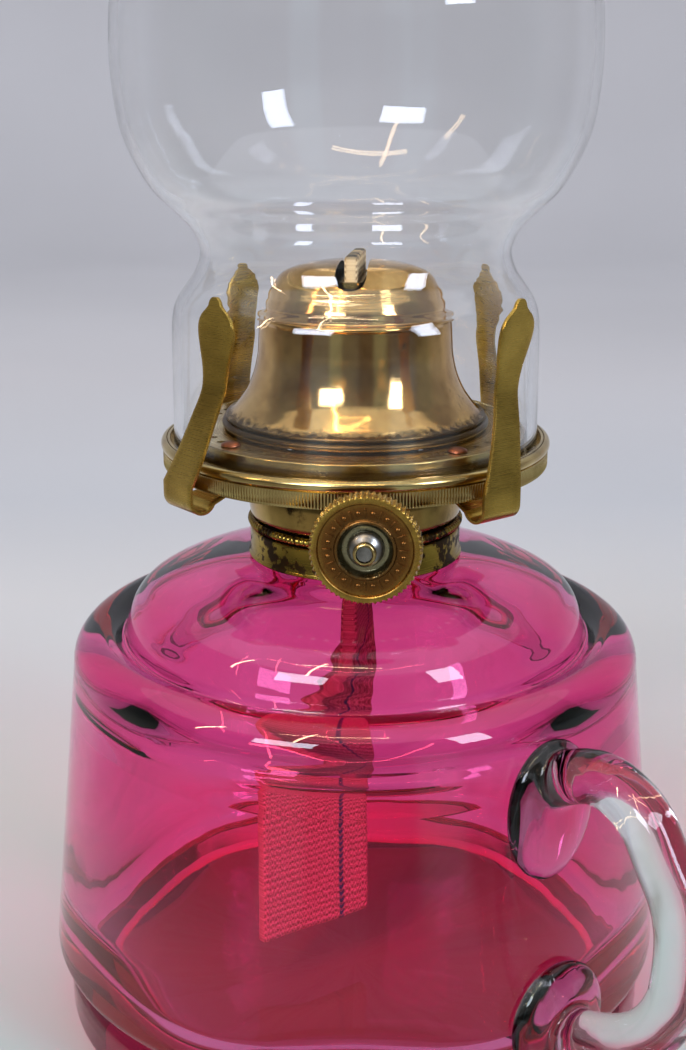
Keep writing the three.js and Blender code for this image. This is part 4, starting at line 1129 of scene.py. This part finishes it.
knobLine = [
    (knob["bore"], knobBack), (knob["radius"] - knob["backIn"], knobBack),
    (knob["radius"], knobBack + knob["backUp"]), (knob["radius"], knobBack + knob["wallUp"]),
    (knob["radius"], knob["front"] - knob["wallDown"]),
    *arcLine(knob["radius"] - rimRound, knob["front"] - rimRound, rimRound, 10, 90, 6),
    *arcLine(bandOuter + bandRound, knob["front"] - bandRound, bandRound, 90, 170, 4),
    (bandOuter - knob["bandFoot"], bandZ), (knob["ridge"] + knob["ridgeFoot"], bandZ),
    *arcLine(
        knob["ridge"] + knob["ridgeOut"], knob["front"] - bandRound, knob["ridgeRound"], 0, 180, 6,
    ),
    *smoothLine([
        (knob["ridge"] - knob["slopeIn"], knob["front"] - knob["wallDown"]),
        (knob["dish"] - knob["dishIn"], dishZ + knob["dishUp"]), (knob["dish"] - knob["floorIn"], dishZ),
    ], 4),
    (knob["bore"], dishZ),
]
knobMesh = turned(knobLine, knob["teeth"] * knob["toothSteps"])
ripple(
    knobMesh, knob["teeth"], knob["tooth"],
    lambda r, z: r > knob["radius"] - bandRound and z > knobBack + knob["toothUp"],
)
markCircle = (bandOuter + knob["ridge"]) / 2
for i in range(knob["marks"]):
    barTurn = Matrix.Rotation(2 * math.pi * i / knob["marks"], 4, "Z")
    barPlace = barTurn @ Matrix.Translation((markCircle, 0, bandZ))
    bar = bmesh.ops.create_cube(knobMesh, size=1, matrix=barPlace @ Matrix.Diagonal((*knob["bar"], 1)))
    edges = list({edge for vert in bar["verts"] for edge in vert.link_edges})
    bmesh.ops.bevel(
        knobMesh, geom=edges, offset=knob["barEdge"], offset_type="OFFSET", segments=2, profile=0.5,
        affect="EDGES", material=-1,
    )
    dotPlace = Matrix.Rotation(math.pi / knob["marks"], 4, "Z") @ barPlace
    bmesh.ops.create_uvsphere(
        knobMesh, u_segments=12, v_segments=8, radius=1,
        matrix=dotPlace @ Matrix.Diagonal((*knob["dot"], 1)),
    )
facePlace = knobMesh.loops.layers.uv.new("face")
for face in knobMesh.faces:
    for loop in face.loops:
        loop[facePlace].uv = (math.hypot(loop.vert.co.x, loop.vert.co.y), loop.vert.co.z)
knobPiece = asObject("knurled_knob", knobMesh)
ontoSpindle = Matrix.Rotation(math.pi / 2, 4, "Y")
alongSpindle = Matrix.Translation(spindlePlace) @ burnerFrame @ ontoSpindle
settle(knobPiece, "knob_body", knobMaterial(), ["knob"], alongSpindle, sharp=30)

bossBase = dishZ + knob["gap"]
bossTop = bossBase + knob["bossHeight"]
bossLine = [
    (knob["bore"], bossBase), (knob["boss"], bossBase),
    *[
        (knob["boss"] * math.cos(t), bossBase + knob["bossHeight"] * math.sin(t))
        for t in knob["bossRound"]
    ],
    (knob["bore"], bossTop),
]
bossPiece = asObject("domed_boss", turned(bossLine, knob["bossSteps"]))
settle(bossPiece, "knob_body", wornSteel, ["knob_boss"], alongSpindle)
ferruleBase = bossTop + knob["gap"]
ferruleTop = knob["front"] + knob["ferruleProud"]
ferruleRound = knob["ferruleRound"]
ferruleLine = [
    (knob["bore"], ferruleBase), (knob["ferrule"], ferruleBase),
    (knob["ferrule"], ferruleTop - knob["ferruleDown"]),
    *arcLine(knob["ferrule"] - ferruleRound, ferruleTop - ferruleRound, ferruleRound, 0, 90, 5),
    (knob["bore"], ferruleTop),
]
ferrulePiece = asObject("ferrule", turned(ferruleLine, knob["ferruleSteps"]))
settle(ferrulePiece, "knob_body", handledBrass, ["knob_ferrule"], alongSpindle)
print("knob made")


# Wick: a flat woven strip, straight in its tube and drifting in the font
wick = dict(
    width=22, thick=2.2, top=141.8, bottom=17, straightTo=70, turnedBy=56, twist=48, right=-6.5,
    front=7.5, across=22, step=1.4, edge=0.7,
    # spacing of the ribs and of the crossed threads, and the tracer thread's place across the strip
    rib=1.1, pick=1.3, tracer=5.7, tracerHalf=(0.55, 0.3), edgeSteps=3,
    # heights over the strip's lower end: dry to wet with oil and painted pink, lit to shaded, and how far
    # the char reaches
    dry=74.0, soakedAndPink=66.0, lit=36.0, shaded=46.0, shade=0.5, char=(0.6, 1.6),
)


def wickSpot(side, height):
    w = wick
    share = min(max(0, (w["straightTo"] - height) / (w["straightTo"] - w["turnedBy"])), 1)
    ease = share * share * (3 - 2 * share)
    turn = math.radians(w["twist"] * ease)
    along = Vector((math.cos(turn), -math.sin(turn), 0))
    return Vector((w["front"] * ease, w["right"] * ease, height)) + along * side


def wickMaterial():
    # undyed cotton webbing: soft ribs along the strip, crossed threads with painted shade between them,
    # and one blue tracer thread
    material, tree = newMaterial("woven cotton wick")
    uv = addNode(tree, "UVMap", uv_map="weave")
    split = addNode(tree, "SeparateXYZ", {0: uv})
    ribs = addNode(
        tree, "Math", {0: split.outputs[0], 1: 2 * math.pi / wick["rib"]}, operation="MULTIPLY",
    )
    ribWave = addNode(tree, "Math", {0: ribs}, operation="SINE")
    picks = addNode(
        tree, "Math", {0: split.outputs[1], 1: 2 * math.pi / wick["pick"]}, operation="MULTIPLY",
    )
    shifted = addNode(tree, "Math", {0: ribWave, 1: 1.2, 2: picks}, operation="MULTIPLY_ADD")
    pickWave = addNode(tree, "Math", {0: shifted}, operation="SINE")
    weave = addNode(tree, "Math", {0: ribWave, 1: pickWave}, operation="MULTIPLY")
    fuzz = addNode(tree, "TexNoise", {"Vector": uv, "Scale": 2.5, "Detail": 4.0})
    height = addNode(tree, "Math", {0: weave, 1: 0.5, 2: fuzz.outputs["Fac"]}, operation="MULTIPLY_ADD")
    # painted shade: the weave's low places between the threads are painted darker and its high places
    # paler, with the fuzz adding random tone
    tone = addNode(tree, "ValToRGB", {0: height}, ramp=[(0.1, "#957a52"), (0.8, "#d9c296")])
    off = addNode(tree, "Math", {0: split.outputs[0], 1: wick["tracer"]}, operation="SUBTRACT")
    away = addNode(tree, "Math", {0: off}, operation="ABSOLUTE")
    line = addNode(tree, "MapRange", {0: away, 1: wick["tracerHalf"][0], 2: wick["tracerHalf"][1]})
    dashes = addNode(tree, "MapRange", {0: pickWave, 1: -0.6, 2: 0.1, 3: 0.35, 4: 1.0})
    thread = addNode(tree, "Math", {0: line, 1: dashes}, operation="MULTIPLY")
    traced = addNode(tree, "Mix", {0: thread, 6: tone, 7: hexColor("#1d2a63")}, data_type="RGBA")
    # below the neck the oil soaks the cotton, which darkens and mottles it; the mottle is painted pink as
    # well, painted light standing in for the pink light that reaches the wick through the cranberry glass
    soakAndPinkShare = addNode(tree, "MapRange", {0: split.outputs[1], 1: wick["dry"], 2: wick["soakedAndPink"]})
    soakMottleAndPinkLight = addNode(
        tree, "ValToRGB", {0: fuzz.outputs["Fac"]}, ramp=[(0.3, "#cf8c9e"), (0.7, "#ffc4ee")],
    )
    # the strip is in the burner's shadow near the neck
    shaded = addNode(
        tree, "MapRange",
        {0: split.outputs[1], 1: wick["lit"], 2: wick["shaded"], 3: 1.0, 4: wick["shade"]},
    )
    soakPinkLightAndShade = addNode(tree, "VectorMath", {0: soakMottleAndPinkLight, "Scale": shaded}, operation="SCALE")
    soakedAndPink = addNode(
        tree, "Mix", {0: soakAndPinkShare, 6: traced.outputs[2], 7: soakPinkLightAndShade},
        data_type="RGBA", blend_type="MULTIPLY",
    )
    char = addNode(tree, "TexNoise", {"Vector": uv, "Scale": 0.5, "Detail": 4.0})
    burnt = addNode(
        tree, "Math", {0: char.outputs["Fac"], 1: 3.0, 2: split.outputs[1]},
        operation="MULTIPLY_ADD",
    )
    length = wick["top"] - wick["bottom"]
    black = addNode(
        tree, "MapRange",
        {0: burnt, 1: length + wick["char"][0], 2: length + wick["char"][1]},
    )
    color = addNode(
        tree, "Mix", {0: black, 6: soakedAndPink.outputs[2], 7: hexColor("#17120e")},
        data_type="RGBA",
    )
    bump = addNode(tree, "Bump", {"Strength": 0.8, "Distance": 0.25 * mm, "Height": height})
    shader = addNode(
        tree, "BsdfPrincipled",
        {"Base Color": color.outputs[2], "Roughness": 0.95, "Normal": bump},
    )
    addNode(tree, "OutputMaterial", {"Surface": shader})
    return material


def wickPiece():
    w = wick
    steps = round((w["top"] - w["bottom"]) / w["step"])
    heights = [between(w["bottom"], w["top"], j / steps) for j in range(steps + 1)]
    sides = [between(-w["width"] / 2, w["width"] / 2, i / w["across"]) for i in range(w["across"] + 1)]
    mesh, rows = stripMesh([[wickSpot(side, height) for side in sides] for height in heights])
    weaveAt = {
        vert: (side + w["width"] / 2, height - w["bottom"])
        for row, height in zip(rows, heights) for vert, side in zip(row, sides)
    }
    layer = mesh.loops.layers.uv.new("weave")
    for face in mesh.faces:
        for loop in face.loops:
            loop[layer].uv = weaveAt[loop.vert]
    strip = asObject("woven_wick", mesh)
    stiffen(strip, w["thick"])
    roundEdges(strip, w["edge"], w["edgeSteps"])
    applied(strip)
    settle(strip, "wick_body", wickMaterial(), ["wick"], sharp=60)


wickPiece()
print("wick made")

# Pieces that keep their CAD shape get their finish here
for node, material in {
    "collar_cement": castPlaster, "wick_tube": handledBrass, "vent_tube": handledBrass,
    "lift_box": handledBrass, "spindle": wornSteel, "spindle_sleeve": bowlBrass,
    "lift_wheel_1": handledBrass, "lift_wheel_2": handledBrass, "lift_wheel_3": handledBrass,
}.items():
    dress(frame["nodes"][node], material)
